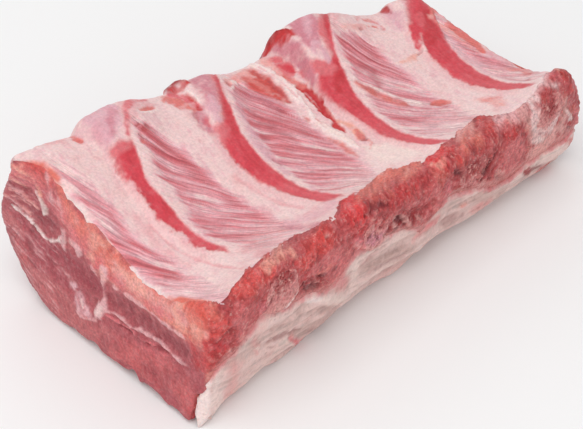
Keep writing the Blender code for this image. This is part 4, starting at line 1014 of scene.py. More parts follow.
def map_range(tree, value, start, end):
    """Output of a node that turns the range start into the range end."""
    values = {"From Min": start[0], "From Max": start[1], "To Min": end[0], "To Max": end[1]}
    made = node(tree, "ShaderNodeMapRange", values)
    tree.links.new(value, made.inputs["Value"])
    return made.outputs["Result"]


def calculate(tree, kind, operation, first, second, third=None):
    """Output of a math node; a socket is linked, and a number or vector is set."""
    made = node(tree, kind, operation=operation)
    for number, value in enumerate((first, second, third)):
        if isinstance(value, bpy.types.NodeSocket):
            tree.links.new(value, made.inputs[number])
        elif value is not None:
            made.inputs[number].default_value = value
    return made.outputs[0]


def scaled(tree, colour, amount):
    """Output of a node that multiplies a colour by an amount."""
    made = node(tree, "ShaderNodeVectorMath", operation="SCALE")
    tree.links.new(colour, made.inputs[0])
    tree.links.new(amount, made.inputs["Scale"])
    return made.outputs["Vector"]


# Pale and dark specks of cut meat: the noise where they start and are full, their share and their colour
SPECKS = (
    ((0.56, 0.74), 0.75, (0.80, 0.46, 0.42)),
    ((0.46, 0.3), 0.8, (0.24, 0.03, 0.04)),
)
BUMP_HEIGHT = 0.0004
LEAST_BUMP = 0.12
FIBRE_SQUEEZE = (0.16, 1.8, 0.0)
FIBRE_BUMP = 0.55
DRIER, WETTER = 0.12, 0.16
REDDISH_GLOW = (1.0, 0.35, 0.25)
GLOW_DEPTH = 0.0016


def fibres(tree, tint, normal):
    """Fine fibres along the skin's weave: they vary the colour, their pale threads partly a painted highlight
    of wet glints, and raise the surface a little.
    """
    weave = node(tree, "ShaderNodeAttribute", attribute_name="weave").outputs["Vector"]
    parts = node(tree, "ShaderNodeSeparateXYZ")
    tree.links.new(weave, parts.inputs["Vector"])
    place = calculate(tree, "ShaderNodeVectorMath", "MULTIPLY", weave, FIBRE_SQUEEZE)
    threads = noise_texture(tree, place, 1.0, 3.0, 0.65)
    # Paler threads, partly painted highlight of wet glints, and darker ones between.
    spread = map_range(tree, threads, (0.28, 0.72), (-0.32, 0.34))
    factor = calculate(tree, "ShaderNodeMath", "MULTIPLY_ADD", spread, parts.outputs["Z"], 1.0)
    raised = node(tree, "ShaderNodeBump", {"Strength": FIBRE_BUMP, "Distance": BUMP_HEIGHT})
    tree.links.new(factor, raised.inputs["Height"])
    tree.links.new(normal, raised.inputs["Normal"])
    return scaled(tree, tint, factor), raised.outputs["Normal"]


def moist(name, roughness, subsurface, bump, mottle, coat_weight, woven=False):
    """A moist material: painted colour broken up by fine noise, with grain as bump and wet highlights."""
    material = bpy.data.materials.new(name)
    material.use_nodes = True
    tree = material.node_tree
    shader = tree.nodes["Principled BSDF"]
    paint, gloss, grain = (
        node(tree, "ShaderNodeAttribute", attribute_name=key) for key in ("paint", "gloss", "grain")
    )
    gloss, grain = gloss.outputs["Fac"], grain.outputs["Fac"]
    place = node(tree, "ShaderNodeTexCoord").outputs["Object"]
    fine = noise_texture(tree, place, 1400.0, 3.0, 0.6)
    light = map_range(tree, fine, (0.3, 0.7), (1.0 - mottle, 1.0 + mottle))
    tint = scaled(tree, paint.outputs["Color"], light)
    specks = noise_texture(tree, place, 1000.0, 4.0, 0.7)
    for start, most, shown in SPECKS:
        chosen = map_range(tree, specks, start, (0.0, most))
        share = calculate(tree, "ShaderNodeMath", "MULTIPLY", chosen, grain)
        spotted = node(tree, "ShaderNodeMix", {"B": shown}, data_type="VECTOR")
        tree.links.new(share, spotted.inputs["Factor"])
        tree.links.new(tint, spotted.inputs["A"])
        tint = spotted.outputs["Result"]
    wet = map_range(tree, gloss, (0.0, 1.3), (roughness + DRIER, roughness - WETTER))
    coarse = noise_texture(tree, place, 900.0, 4.0)
    strength = calculate(tree, "ShaderNodeMath", "MULTIPLY_ADD", grain, bump, LEAST_BUMP)
    uneven = node(tree, "ShaderNodeBump", {"Distance": BUMP_HEIGHT})
    tree.links.new(strength, uneven.inputs["Strength"])
    tree.links.new(coarse, uneven.inputs["Height"])
    normal = uneven.outputs["Normal"]
    if woven:
        tint, normal = fibres(tree, tint, normal)
    tree.links.new(tint, shader.inputs["Base Color"])
    tree.links.new(wet, shader.inputs["Roughness"])
    tree.links.new(normal, shader.inputs["Normal"])
    shader.inputs["Subsurface Weight"].default_value = subsurface
    shader.inputs["Subsurface Radius"].default_value = REDDISH_GLOW
    shader.inputs["Subsurface Scale"].default_value = GLOW_DEPTH
    shader.inputs["Specular IOR Level"].default_value = 0.28
    shader.inputs["Coat Weight"].default_value = coat_weight
    shader.inputs["Coat Roughness"].default_value = 0.22
    return material


# Pieces


SKIN_COLUMNS, SKIN_ROWS, SKIN_BACK_ROWS = 388, 202, 7
SKIN_END_DROP = (-0.05, -0.025)
SKIN_BACK_DROP = -0.07
SKIN_OVERLAP = 1.5
SKIN_LIFT = 0.35
SKIN_FOOT_Z = 20.0
SKIN_FOOT_INSET = 0.12


def make_skin(material):
    """The inner skin with the fat and muscle that show through it, closed below, inside the meat."""
    u = np.concatenate([[0, 0], np.linspace(0, 1, SKIN_COLUMNS), [1, 1]])
    column_w = np.concatenate([SKIN_END_DROP, np.zeros(SKIN_COLUMNS), SKIN_END_DROP[::-1]])
    back_w = np.linspace(0, SKIN_BACK_DROP, SKIN_BACK_ROWS + 1)[1:]
    row_v = np.concatenate([np.linspace(0, 1, SKIN_ROWS), np.ones(SKIN_BACK_ROWS)])
    row_w = np.concatenate([np.zeros(SKIN_ROWS), back_w])
    at_x = end_x(u, 0.0, 1.0)
    start = (curve(at_x, SKIN_FRONT_Y) - SKIN_OVERLAP - front_y(at_x, 1.0)) / WIDTH
    v = start[:, None] + (1 - start[:, None]) * row_v[None, :]
    w = np.clip(1 + column_w[:, None] + row_w[None, :], 0.8, 1)
    points = rack_point(*rounded(u[:, None], v, w))
    x, y = points[..., 0], points[..., 1]
    coat, weave = paint_skin(x, y)
    from_end = x - NEAR_END_TOP * (1 - step(NEAR_END_UPRIGHT, 1.0, v))
    lip = 1 - step(0.0, 0.7, from_end + 0.3 * speckle(402, 3, x, y))
    lip = lip * step(13, 18, y) * (1 - step(54, 60, y))
    coat.add(lip * 0.9, "white_fat", height=0.15)
    behind = step(0.0, 0.05, -row_w[None, :] + 0.02 * rough(404, 3.0, x, y))
    beyond = step(LENGTH - 6, LENGTH - 3.5, x + 1.2 * rough(406, 3.0, x, y)) * step(6, 12, y)
    coat.add(np.maximum(behind * 0.8, beyond * 0.5), "red_pink")
    normal = grid_normals(points)
    dive = step(0.0, 0.05, -column_w[:, None]) * (0.6 + 0.7 * step(0.8, 0.87, v))
    points = points + normal * (SKIN_LIFT + coat.height - dive)[..., None]
    columns, rows = x.shape
    edge = border(columns, rows)
    flat_points = points.reshape(-1, 3)
    foot = flat_points[edge].copy()
    foot[:, 0] = mix(foot[:, 0], LENGTH / 2, SKIN_FOOT_INSET)
    foot[:, 1] = mix(foot[:, 1], WIDTH / 2, SKIN_FOOT_INSET)
    foot[:, 2] = SKIN_FOOT_Z
    count = len(flat_points)
    ring = np.arange(count, count + len(edge))
    faces = grid_faces(columns, rows) + joined(ring, edge)
    faces.append([int(n) for n in ring[::-1]])
    points = np.concatenate([flat_points, foot])
    piece = make_piece("inner_skin", points, faces, flat(coat, len(edge)), material, ())
    values = np.concatenate([weave.reshape(-1, 3), np.zeros((len(edge), 3))])
    piece.data.attributes.new("weave", "FLOAT_VECTOR", "POINT").data.foreach_set("vector", values.ravel())
    return piece


# Height up to which the sawn side's foot tucks in under the rack, along x
TUCK_Z = (
    (0, 0.0), (12, 0.2), (19, 4.6), (24, 4.4), (30, 1.8), (37, 0.2), (45, 0.8), (51, 3.0), (58, 4.8),
    (65, 5.2), (71, 4.0), (77, 1.4), (84, 2.8), (93, 5.6), (100, 5.0), (107, 3.2), (114, 5.2), (122, 6.0),
    (132, 3.0), (156, 1.5),
)
TUCK_IN = 0.85


def tucked(points, here):
    """Pulls the foot of the sawn side in under the rack, where here is 1."""
    below = np.clip(curve(points[..., 0], TUCK_Z) - points[..., 2], 0, None)
    points[..., 1] += TUCK_IN * here * below**2 / (below + 1.0)
    return points


# How deep the flesh lies behind the fat, and the shares of the height where that ends
FAT_INSET = 2.7
INSET_FROM_W = 0.36
INSET_TO_W = 0.43


def outline(front_count, far_count, back_count, near_count):
    """Shares (u, v) round the rack's plan, from the near front corner along the sawn side."""
    def run(count):
        """Shares from 0 up to the last before 1."""
        return np.linspace(0, 1, count, endpoint=False)
    u = [run(front_count), np.ones(far_count), 1 - run(back_count), np.zeros(near_count)]
    v = [np.zeros(front_count), run(far_count), np.ones(back_count), 1 - run(near_count)]
    return np.concatenate(u), np.concatenate(v)


# How far the sawn side's pattern moves along and up for each mm that the meat folds in over the top
FOLD_ALONG, FOLD_UP = -1.0, 0.86
FLESH_COLUMNS = (376, 100, 100, 186)
FLESH_ROWS = 92
TOP_FOLD, TOP_FOLD_ROWS = 14, 26
LOW_FOLD = (4.0, 2.0, 1.0)
FLESH_HOLLOW_Z = 16.0
ON_EDGE = 1e-6


def paint_flesh(x, y, z, w, at_near):
    """Coat of the marbled flesh all round, under what the near end and the sawn side add."""
    coat = Coat(x.shape, "end_mid")
    coat.add(step(-0.2, 0.6, rough(500, 6, x, y, z)) * 0.7, "end_pale")
    coat.add(step(0.1, 0.7, rough(503, 9, x + y, z)) * 0.5, "pink_fat")
    coat.height += 0.4 * rough(505, 4, x, y, z) * (1 - at_near)
    coat.grain = np.maximum(coat.grain, 0.5)
    cuts = rough(520, (11, 11, 8), x + 0.5 * z, y, z - 0.25 * x - 0.25 * y)
    seams = 1 - step(0.02, 0.07, np.abs(cuts))
    coat.add(seams * step(-0.3, 0.3, rough(524, 9, x, y, z)) * 0.75, "pink_fat", height=0.25)
    coat.add(step(0.1, 0.5, cuts) * 0.5, "end_meat")
    coat.add(step(0.1, 0.5, -cuts) * 0.45, "end_deep")
    coat.add(step(0.8, 0.97, w + 0.08 * rough(528, 5, x, y, z)) * 0.6, "orange")
    strands = noise(530, (2.5, 2.5, 0.8), x, y, z - 0.2 * x)
    coat.shade(0.12 * strands + 0.08 * rough(532, 1.6, x, y, z))
    return coat


def make_flesh(material):
    """The meat as one closed band round the rack, folded in over its top and under its bottom."""
    u0, v0 = outline(*FLESH_COLUMNS)
    side_w = np.linspace(0, 1, FLESH_ROWS)
    top_inset = np.linspace(0, TOP_FOLD, TOP_FOLD_ROWS + 1)[1:]
    inset = np.concatenate([LOW_FOLD, np.zeros(FLESH_ROWS), top_inset])
    w_row = np.concatenate([np.zeros(len(LOW_FOLD)), side_w, np.ones(TOP_FOLD_ROWS)])
    u = 0.5 + (u0[:, None] - 0.5) * (1 - 2 * inset / LENGTH)
    v = 0.5 + (v0[:, None] - 0.5) * (1 - 2 * inset / WIDTH)
    w = np.broadcast_to(w_row, u.shape)
    ru, rv, rw = rounded(u, v, w)
    at_front = np.broadcast_to(v0[:, None] < ON_EDGE, u.shape).astype(float)
    at_near = np.broadcast_to(u0[:, None] < ON_EDGE, u.shape).astype(float) * (1 - at_front)
    at_front = smooth_over(at_front, True, 3)
    at_near = smooth_over(at_near, True, 3)
    covered = 1 - step(INSET_FROM_W, INSET_TO_W, w)
    points = rack_point(ru, rv, rw, FAT_INSET * covered)
    x, y, z = np.moveaxis(points, -1, 0)
    on_top = np.where(w_row >= 1, inset, 0.0) + 0 * x
    coat = paint_flesh(x, y, z, w, at_near)
    near_z = z * mix(1.0, 0.985, at_near)
    paint_near_end(coat, y, near_z, at_near)
    paint_front(coat, x + FOLD_ALONG * on_top, z + FOLD_UP * on_top, at_front)
    skin_start = curve(x, SKIN_FRONT_Y) + 0.7 * rough(507, 3.0, x, y) + 0.5 * speckle(509, 0.9, x, y)
    skinned = step(-0.3, 0.5, y - skin_start) * step(0.3, 1.2, on_top)
    skinned_ends = step(0.1, 0.8, on_top) * (1 - at_front) * step(-0.3, 1.5, y - skin_start)
    skinned = np.maximum(skinned, skinned_ends)
    near_top = at_near * step(0.92, 0.985, w) * step(9, 14, y)
    seam = at_front * band(FAT_EDGE_W - 0.03, FAT_EDGE_W + 0.08, 0.05, w + 0.03 * rough(510, 2.0, x, z))
    coat.add(seam * 0.5, "bone_pale")
    height = coat.height * (1 - near_top) - 0.35 * near_top
    open_front = step(FAT_EDGE_W, FAT_EDGE_W + 0.1, w)
    height = mix(height, height * open_front - 0.5 * (1 - open_front), at_front)
    lip = 0.5 * np.maximum(at_front, at_near) * step(0.9, 1.0, w) * step(0, 6, x)
    height = height * (1 - skinned) - 1.0 * skinned + lip * (1 - skinned)
    normal = smooth_over(grid_normals(points, True), True, 2)
    points = tucked(points + normal * height[..., None], at_front)
    rise = curve(y, END_FLOOR_Z) * at_near * (1 - step(0, 6, points[..., 2]))
    points[..., 2] += rise
    columns, rows = x.shape
    flat_points = points.reshape(-1, 3)
    number = np.arange(columns * rows).reshape(columns, rows)
    deep = points[:, -1].copy()
    deep[:, 2] = FLESH_HOLLOW_Z
    count = len(flat_points)
    ring = np.arange(count, count + columns)
    faces = grid_faces(columns, rows, True) + joined(number[:, -1], ring)
    faces.append([int(n) for n in ring])
    faces.append([int(n) for n in number[::-1, 0]])
    values = flat(coat, columns)
    points = np.concatenate([flat_points, deep])
    return make_piece("flesh", points, faces, values, material, ("meat",))


# The fat goes down the sawn side and on below the rack, up to this share of the width
FAT_REACH = 0.56
FAT_COLUMNS, FAT_SIDE_ROWS, FAT_LOW_ROWS = 330, 52, 41
FAT_RAISE = (
    (0, 1.0), (20, 1.6), (36, 2.4), (60, 1.8), (83, 2.4), (95, 0.4), (105, 1.4), (118, -0.6), (130, 0.4),
    (156, 0.4),
)
FAT_THICKNESS = 3.5
FAT_INNER_Z = 1.2
SIDE_HEIGHT = 44
# How far the cut edge of the fat wraps the near corner, for its first columns
FAT_WRAP = (1.5, 1.1, 0.7, 0.3, 0.0)
# Marks of the fat's side, in (x, z); its grey and deep marks are painted shade, sunk where they lie in
# grooves.
FAT_MARKS = (
    ("cream", 0.8, 0.1, 1.6, 0.8, ((4, 17, 1.2), (4, 12, 2.4), (5, 6, 2.4), (5, 0, 2.0))),
    ("cap_pink", 0.5, 0, 1.6, 1.0, ((9, 20, 1.6), (10, 14, 2.4), (10, 7, 2.6), (12, 0, 2.4))),
    ("cap_pink", 0.6, 0.1, 0.8, 0.8, ((16, 24, 0.8), (17.6, 19, 1.2), (18.6, 15.6, 0.8))),
    ("cap_pale_and_lit", 0.8, 0.2, 0.4, 0.5, ((17, 19.6, 0.4), (18.4, 17.6, 0.6), (19, 16.6, 0.3))),
    ("cap_shade_grey", 0.5, 0, 2.0, 0.8, ((23, 23, 1.6), (26, 20, 2.4), (32, 19, 2.0))),
    ("cap_deep_shade", 0.85, -0.7, 0.7, 0.5, ((22, 16.6, 0.6), (26, 15.8, 1.2), (30, 14.6, 1.0), (34, 13, 0.6))),
    ("cap_shade_grey", 0.8, 0, 2.0, 1.0, ((34, 12, 2.0), (40, 9, 3.6), (46, 6, 3.2))),
    ("cap_deep_shade", 0.35, 0, 2.0, 1.0, ((40, 6, 1.6), (46, 4, 2.4))),
    ("cap_pale_and_lit", 0.9, 0.4, 0.6, 0.5, ((27, 13, 0.6), (31, 10.6, 1.0), (34, 7, 1.2), (36.4, 3.6, 0.9))),
    ("cap_pink", 0.95, 0.1, 0.5, 0.5, ((30.6, 12.4, 0.4), (33, 9, 0.6), (36.6, 5, 1.2), (38.6, 1, 1.6))),
    ("red_pink", 0.7, 0, 0.5, 0.5, ((30.6, 12, 0.2), (33.4, 8.4, 0.4), (38.6, 2, 0.8))),
    # Painted highlight along a raised ridge of the fat: white on its bulge and pale down the streak after it.
    ("white_fat", 0.95, 0.5, 0.6, 0.4, ((35.4, 23.4, 0.6), (38, 22.4, 1.1), (41, 21, 0.8))),
    ("cap_pale_and_lit", 0.9, 0.4, 1.0, 0.5, ((41, 20.6, 1.0), (45, 17, 1.6), (49, 13.6, 1.6), (53, 10, 1.0))),
    ("cap_shade_grey", 0.7, -0.5, 0.9, 0.5, ((33, 20, 0.6), (40, 17, 1.0), (46, 12, 1.2), (52, 7, 1.0))),
    ("cap_pink", 0.8, 0.1, 1.4, 1.0, ((46, 22, 1.6), (50, 20, 2.2), (52, 16.6, 1.6))),
    ("red_pink", 0.4, 0, 1.2, 0.8, ((49, 23.4, 1.0), (50.4, 20.6, 1.0))),
    ("cap_pale_and_lit", 0.6, 0.2, 0.9, 0.5, ((54.6, 25, 0.9), (55, 19, 1.2), (56, 14, 1.0))),
    ("cap_deep_shade", 0.5, -0.4, 0.9, 0.7, ((57, 21.6, 0.7), (60, 22.2, 1.2), (63, 21.6, 0.7))),
    ("cap_shade_grey", 0.9, 0, 1.6, 0.8, ((60, 19, 2.4), (67, 17, 3.0), (75, 14.6, 2.6), (80, 12, 1.6))),
    ("cap_deep_shade", 0.4, -0.4, 1.0, 0.6, ((62, 14.6, 0.8), (70, 13.2, 1.0), (77, 10.6, 0.8))),
    ("cap_deep_shade", 0.35, -0.3, 1.0, 0.6, ((58, 8.6, 0.8), (66, 8.4, 1.0), (74, 6, 0.8))),
    ("cap_pale_and_lit", 0.5, 0.3, 1.2, 0.6, ((58, 11.4, 0.8), (66, 11, 1.2), (76, 8.4, 1.0))),
    ("cap_pink", 0.8, 0, 1.2, 0.8, ((80, 17, 1.2), (85, 17.4, 1.8), (89, 18, 1.2))),
    ("red_pink", 0.5, 0, 0.9, 0.8, ((84, 18.6, 0.6), (88, 17, 0.8), (89, 14, 0.6))),
    ("cap_pale_and_lit", 0.7, 0.2, 1.0, 0.6, ((81, 12, 0.8), (84, 8, 1.2), (88, 4, 0.8))),
    ("cap_deep_shade", 0.5, -0.2, 1.6, 0.8, ((94, 17, 0.8), (96, 12, 2.4), (101, 9, 2.4))),
    ("orange", 0.5, 0.1, 0.6, 0.7, ((99.4, 16.4, 0.5), (101, 15, 0.8), (102.4, 13.6, 0.4))),
    ("cap_shade_grey", 0.7, 0, 1.6, 0.8, ((106, 15, 1.6), (112, 12, 2.4), (120, 9, 2.4))),
    ("cap_pink", 0.6, 0, 1.4, 0.8, ((108, 9, 1.6), (114, 7, 2.0))),
    ("rib_deep", 0.85, -0.2, 0.6, 0.7, ((128.4, 12.6, 1.0), (132, 10, 1.8), (135.6, 6, 1.4))),
    ("cap_deep_shade", 0.8, 0, 0.8, 0.7, ((134, 10, 1.0), (139, 7.6, 1.6), (144, 5, 1.6))),
    ("raw_red", 0.7, 0, 0.8, 0.8, ((141, 2.6, 1.4), (147, 1.6, 1.8))),
    ("cap_pale_and_lit", 0.7, 0.2, 1.4, 0.8, ((133, 13.6, 1.0), (139, 12.6, 1.4), (146, 10.6, 1.2))),
    ("raw_red", 0.5, 0, 0.8, 0.8, ((150, 11.6, 0.8), (154, 9, 1.2), (155, 5, 1.0))),
)


def paint_fat(x, y, z, down, under, on_side):
    """Coat of the fat, down from its upper edge and on in under the rack, both in mm, with painted shade and
    painted light that follow its folds and creases.
    """
    coat = Coat(x.shape, "cap")
    coat.grain[:] = 0.25
    coat.add(step(-0.2, 0.6, rough(610, 5, x * 0.35, z - 0.2 * x)) * 0.45, "cap_pale_and_lit")
    coat.add(step(0.1, 0.8, rough(613, 4, x * 0.5, z)) * 0.35, "cap_pink")
    folds = noise(616, (18, 2.8), x, z + 0.16 * x) + 0.5 * noise(617, (9, 1.3), x, z + 0.1 * x)
    coat.height += 0.5 * folds + 0.18 * rough(618, 1.6, x, y, z)
    # Creases, sunk and darkened with painted shade.
    creases = noise(632, (13, 1.7), x, z + 0.18 * x) + 0.5 * noise(634, (5, 1.1), x, z + 0.1 * x)
    creases = (1 - step(0.0, 0.14, np.abs(creases))) * step(-0.2, 0.4, rough(636, 7, x, z)) * on_side
    coat.add(creases * 0.65, "cap_deep_shade", height=-0.35)
    # Painted shade in the hollows of the folds and painted light on their crests, following the folds' raised
    # height.
    coat.add(step(0.2, 0.9, -folds) * 0.5, "cap_shade_grey")
    coat.add(step(0.4, 1.0, folds) * 0.5, "cap_pale_and_lit")
    # Painted shade, greyer further in under the rack.
    coat.add(step(2, 14, under) * 0.6, "cap_shade_grey")
    paint_marks(coat, x, z, FAT_MARKS, 1600, on_side)
    threads = noise(628, (7.0, 0.8), x, z + 0.2 * x) + 0.5 * noise(629, (3.5, 0.5), x, z + 0.16 * x)
    mottle = 0.1 * rough(620, 1.8, x, z + y) + 0.07 * speckle(623, 0.8, x, z + y)
    coat.shade(mottle + 0.22 * threads * on_side, "white_fat")
    blend = (1 - step(0.4, 2.6, down + 1.2 * rough(630, 2.0, x, z))) * step(0, 3, x)
    coat.add(blend * 0.75, "red_pink")
    end_strip = (1 - step(1.6, 3.0, x + 0.5 * speckle(625, 2, x, z))) * on_side
    coat.add(end_strip * 0.9, "white_fat")
    return coat


def make_fat(material):
    """The fat cap: outer sheet with folds, inner sheet inside the meat, joined all round."""
    u = np.linspace(0, 1, FAT_COLUMNS)
    side_w = np.linspace(FAT_EDGE_W, 0, FAT_SIDE_ROWS)
    below_v = np.linspace(0, FAT_REACH, FAT_LOW_ROWS + 1)[1:]
    v_row = np.concatenate([np.zeros(FAT_SIDE_ROWS), below_v])
    w_row = np.concatenate([side_w, np.zeros(FAT_LOW_ROWS)])
    uu = np.broadcast_to(u[:, None], (len(u), len(v_row)))
    ru, rv, rw = rounded(uu, v_row[None, :], w_row[None, :])
    outer = rack_point(ru, rv, rw)
    x, y, z = np.moveaxis(outer, -1, 0)
    down = (FAT_EDGE_W - w_row[None, :]) * SIDE_HEIGHT + 0 * x
    on_side = step(0.0, 0.02, w_row[None, :]) + 0 * x
    under = v_row[None, :] * WIDTH + 0 * x
    edge_x = x[:, :1]
    ragged = 1.1 * rough(601, 4.5, edge_x, 0 * edge_x) + 0.5 * speckle(604, 1.6, edge_x, 0 * edge_x)
    outer[..., 2] += (curve(edge_x, FAT_RAISE) + ragged) * (1 - step(0, 7, down))
    outer[..., 0] += 4.0 * (1 - u[:, None]) ** 8 * step(0, 4, under)
    z = outer[..., 2]
    coat = paint_fat(x, y, z, down, under, on_side)
    normal = grid_normals(outer[:, ::-1])[:, ::-1]
    lift = mix(-1.2, 0.3, step(0, 1.8, down)) + coat.height * step(0.5, 2.5, down)
    outer = tucked(outer + normal * lift[..., None], 1.0)
    outer[..., 2] = np.maximum(outer[..., 2], 0.0)
    wrap = np.interp(np.arange(FAT_COLUMNS), np.arange(len(FAT_WRAP)), FAT_WRAP)[:, None]
    bumps = 1 + 0.35 * noise(640, 2.2, z) + 0.2 * noise(641, 0.9, z)
    outer[..., 1] += wrap * bumps * on_side * step(0.4, 3.0, z)
    inner = outer - normal * FAT_THICKNESS
    inner[..., 2] = np.maximum(inner[..., 2], FAT_INNER_Z)
    columns, rows = x.shape
    edge = border(columns, rows)
    count = columns * rows
    out_faces = grid_faces(columns, rows)
    faces = [face[::-1] for face in out_faces] + [[n + count for n in face] for face in out_faces]
    faces += joined(edge, edge + count)
    points = np.concatenate([outer.reshape(-1, 3), inner.reshape(-1, 3)])
    colour, gloss, grain = flat(coat)
    values = (np.tile(colour, (2, 1)), np.tile(gloss, 2), np.tile(grain, 2))
    return make_piece("fat_layer", points, faces, values, material, ("fat_cap",))


# First noise seed of the rib ends, and how many each may use
RIB_END_SEED, RIB_END_SEEDS = 700, 10
# Sawn rib ends: middle, half width, reach up and down, and middle of the dark marrow
ENDS = (
    {"node": "rib_bone_1", "x": 25.6, "z": 34.6, "wide": 7.0, "up": 6.6, "down": 7.2, "core": (26.0, 38.0)},
    {"node": "rib_bone_2", "x": 61.4, "z": 30.8, "wide": 5.6, "up": 6.4, "down": 5.2, "core": (63.6, 35.4)},
    {"node": "rib_bone_3", "x": 102.0, "z": 27.6, "wide": 6.8, "up": 6.2, "down": 6.0, "core": (102.6, 30.6)},
    {"node": "rib_bone_4", "x": 137.4, "z": 30.0, "wide": 6.8, "up": 6.8, "down": 7.8, "core": (137.0, 31.6)},
)
BONE_LIFT = 0.35
BONE_RIM_LIFT = -0.7
DISC_RINGS = 30
DISC_SIDES = 120
# The hidden stub of bone: how far behind the face, and its size there
STUB = ((3.0, 0.95), (6.0, 0.8))
STUB_SLOPE = 0.2


def make_rib_end(end, seed, material):
    """A sawn rib end: a rough disc with dark marrow, let into the meat, with its stub of bone behind."""
    angle = np.linspace(0, 2 * np.pi, DISC_SIDES, endpoint=False)[:, None]
    share = np.linspace(1, 0.02, DISC_RINGS)[None, :]
    c, s = np.cos(angle), np.sin(angle)
    wobble = 1 + 0.12 * noise(seed, 0.8, c, s) + 0.05 * noise(seed + 1, 0.25, c, s)
    x = end["x"] + end["wide"] * wobble * share * c
    z = end["z"] + np.where(s > 0, end["up"], end["down"]) * wobble * share * s
    w = 0.5 + 0.5 * (z - curve(x, FAT_EDGE_Z)) / (curve(x, FRONT_EDGE_Z) - curve(x, FAT_EDGE_Z))
    depth = front_y(x, np.clip(w, 0, 1))
    coat = Coat(x.shape, "bone")
    fleck, grit = speckle(seed + 2, 1.0, x, z), speckle(seed + 3, 0.6, x, z)
    coat.add(step(0.1, 0.8, rough(seed + 4, 3.0, x, z)) * 0.6, "bone_pale")
    core_x, core_z = end["core"]
    core = 1 - step(1.6, 4.6, np.hypot(x - core_x, z - core_z) + 1.3 * rough(seed + 5, 2.4, x, z))
    paint_marks(coat, x, z, FRONT_MARKS, 1200)
    coat.add(core * 0.9, "rib_deep", height=-0.3, gloss=1.0)
    coat.add(core * step(-0.1, 0.4, -grit) * 0.95, "marrow", height=-0.4)
    coat.add(core * step(0.35, 0.7, fleck) * 0.7, "bone_pale", height=0.3)
    coat.add(step(0.3, 0.7, fleck) * 0.5, "bone_pale", height=0.15)
    coat.add(step(0.35, 0.75, -grit) * 0.5, "rib_deep", height=-0.2)
    rim = step(0.78, 0.94, share + 0.05 * fleck) * (1 - step(0.94, 1.0, share))
    coat.add(rim * 0.3 * (1 - step(0, 0.8, s)), "bone_pale", height=0.1)
    fade = 1 - step(0.86, 1.0, share)
    lift = mix(BONE_RIM_LIFT, BONE_LIFT, fade) + coat.height * fade
    disc = np.stack([x, depth - lift, z], -1)
    stub = []
    for back, size in STUB:
        ring_x = end["x"] + (x[:, 0] - end["x"]) * size
        ring_z = end["z"] + (z[:, 0] - end["z"]) * size - STUB_SLOPE * back
        stub.append(np.stack([ring_x, depth[:, 0] + back, ring_z], -1))
    points = np.concatenate([np.stack(stub[::-1], 1), disc], 1)
    columns, rows = points.shape[:2]
    number = np.arange(columns * rows).reshape(columns, rows)
    faces = grid_faces(columns, rows, True)
    faces += [[int(n) for n in number[:, -1]], [int(n) for n in number[::-1, 0]]]
    faces = [face[::-1] for face in faces]
    full = Coat((columns, rows), "bone")
    full.colour[:, 2:], full.gloss[:, 2:] = coat.colour, coat.gloss
    full.grain[:] = 1.0
    name = "rib_end" + end["node"][-2:]
    return make_piece(name, points.reshape(-1, 3), faces, flat(full), material, (end["node"],))


# Floor, lights and camera

FLOOR_REACH = 3.0
# Name, place, size and power of each light
LIGHTS = (
    ("key", (-0.35, -0.1, 0.9), 0.8, 4.1),
    ("fill", (-0.8, -0.9, 0.35), 0.9, 2.1),
    ("rear", (0.5, 0.7, 0.6), 0.7, 1.0),
)
SKY_STRENGTH = 0.6


def make_floor():
    """A plain pale floor."""
    mesh = bpy.data.meshes.new("floor")
    corners = [(a * FLOOR_REACH, b * FLOOR_REACH, 0) for a, b in ((-1, -1), (1, -1), (1, 1), (-1, 1))]
    mesh.from_pydata(corners, [], [(0, 1, 2, 3)])
    material = bpy.data.materials.new("pale_floor")
    material.use_nodes = True
    shader = material.node_tree.nodes["Principled BSDF"]
    shader.inputs["Base Color"].default_value = (0.93, 0.93, 0.93, 1)
    shader.inputs["Roughness"].default_value = 0.6
    shader.inputs["Specular IOR Level"].default_value = 0.2
    mesh.materials.append(material)
    floor = bpy.data.objects.new("floor", mesh)
    bpy.context.scene.collection.objects.link(floor)
    floor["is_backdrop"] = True


def area_light(name, place, size, power):
    """A soft square light that faces the rack."""
    light = bpy.data.lights.new(name, "AREA")
    light.size = size
    light.energy = power
    lamp = bpy.data.objects.new(name, light)
    lamp.location = place
    lamp.rotation_euler = (-Vector(place)).to_track_quat("-Z", "Y").to_euler()
    bpy.context.scene.collection.objects.link(lamp)


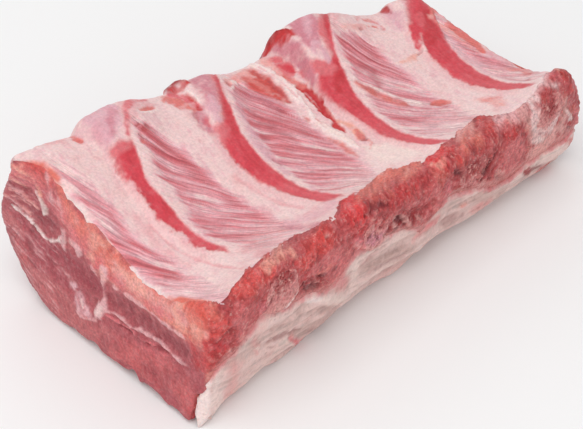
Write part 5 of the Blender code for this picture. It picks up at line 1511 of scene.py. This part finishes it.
def make_lights():
    """Soft studio light: three area lights and an even white surrounding."""
    for light in LIGHTS:
        area_light(*light)
    world = bpy.data.worlds.new("studio")
    world.use_nodes = True
    sky = world.node_tree.nodes["Background"]
    sky.inputs["Color"].default_value = (1.0, 1.0, 1.0, 1)
    sky.inputs["Strength"].default_value = SKY_STRENGTH
    bpy.context.scene.world = world
    bpy.context.scene.view_settings.view_transform = "Standard"


# The camera's focal length in pixels, its direction, and where and how deep the rack's near corner shows
PHOTO_WIDTH, PHOTO_HEIGHT = 583, 429
FOCAL_PIXELS = 1600.0
AZIMUTH, ELEVATION = -45.5, 41.5
CORNER_PIXEL = (202.5, 427.0)
CORNER_DEPTH = 0.41783
SENSOR_WIDTH = 36.0


def make_camera():
    """The camera at the photo's viewing angle."""
    turn, rise = np.radians(AZIMUTH), np.radians(ELEVATION)
    back = np.array([np.sin(turn) * np.cos(rise), -np.cos(turn) * np.cos(rise), np.sin(rise)])
    right = np.array([np.cos(turn), np.sin(turn), 0.0])
    up = np.cross(back, right)
    across = (CORNER_PIXEL[0] - PHOTO_WIDTH / 2) / FOCAL_PIXELS
    down = (CORNER_PIXEL[1] - PHOTO_HEIGHT / 2) / FOCAL_PIXELS
    corner = np.array([-CENTRE_X, -CENTRE_Y, 0.0]) * MM
    place = corner - (across * right - down * up - back) * CORNER_DEPTH
    data = bpy.data.cameras.new("camera")
    data.sensor_width = SENSOR_WIDTH
    data.lens = SENSOR_WIDTH * FOCAL_PIXELS / PHOTO_WIDTH
    data.clip_start = 0.01
    camera = bpy.data.objects.new("camera", data)
    turned = Matrix(np.stack([right, up, back], 1).tolist()).to_4x4()
    turned.translation = Vector(place.tolist())
    camera.matrix_world = turned
    bpy.context.scene.collection.objects.link(camera)
    bpy.context.scene.camera = camera


def main():
    """Sets up the studio and dresses the rack."""
    make_camera()
    make_lights()
    make_floor()
    skin = moist("inner_skin", 0.42, 0.15, 0.3, 0.11, 0.06, woven=True)
    meat = moist("moist_meat", 0.42, 0.1, 1.1, 0.22, 0.06)
    fat = moist("cold_fat", 0.48, 0.15, 0.8, 0.09, 0.03)
    bone = moist("sawn_bone", 0.5, 0.05, 1.0, 0.26, 0.06)
    make_skin(skin)
    make_flesh(meat)
    make_fat(fat)
    for number, end in enumerate(ENDS):
        make_rib_end(end, RIB_END_SEED + RIB_END_SEEDS * number, bone)


main()
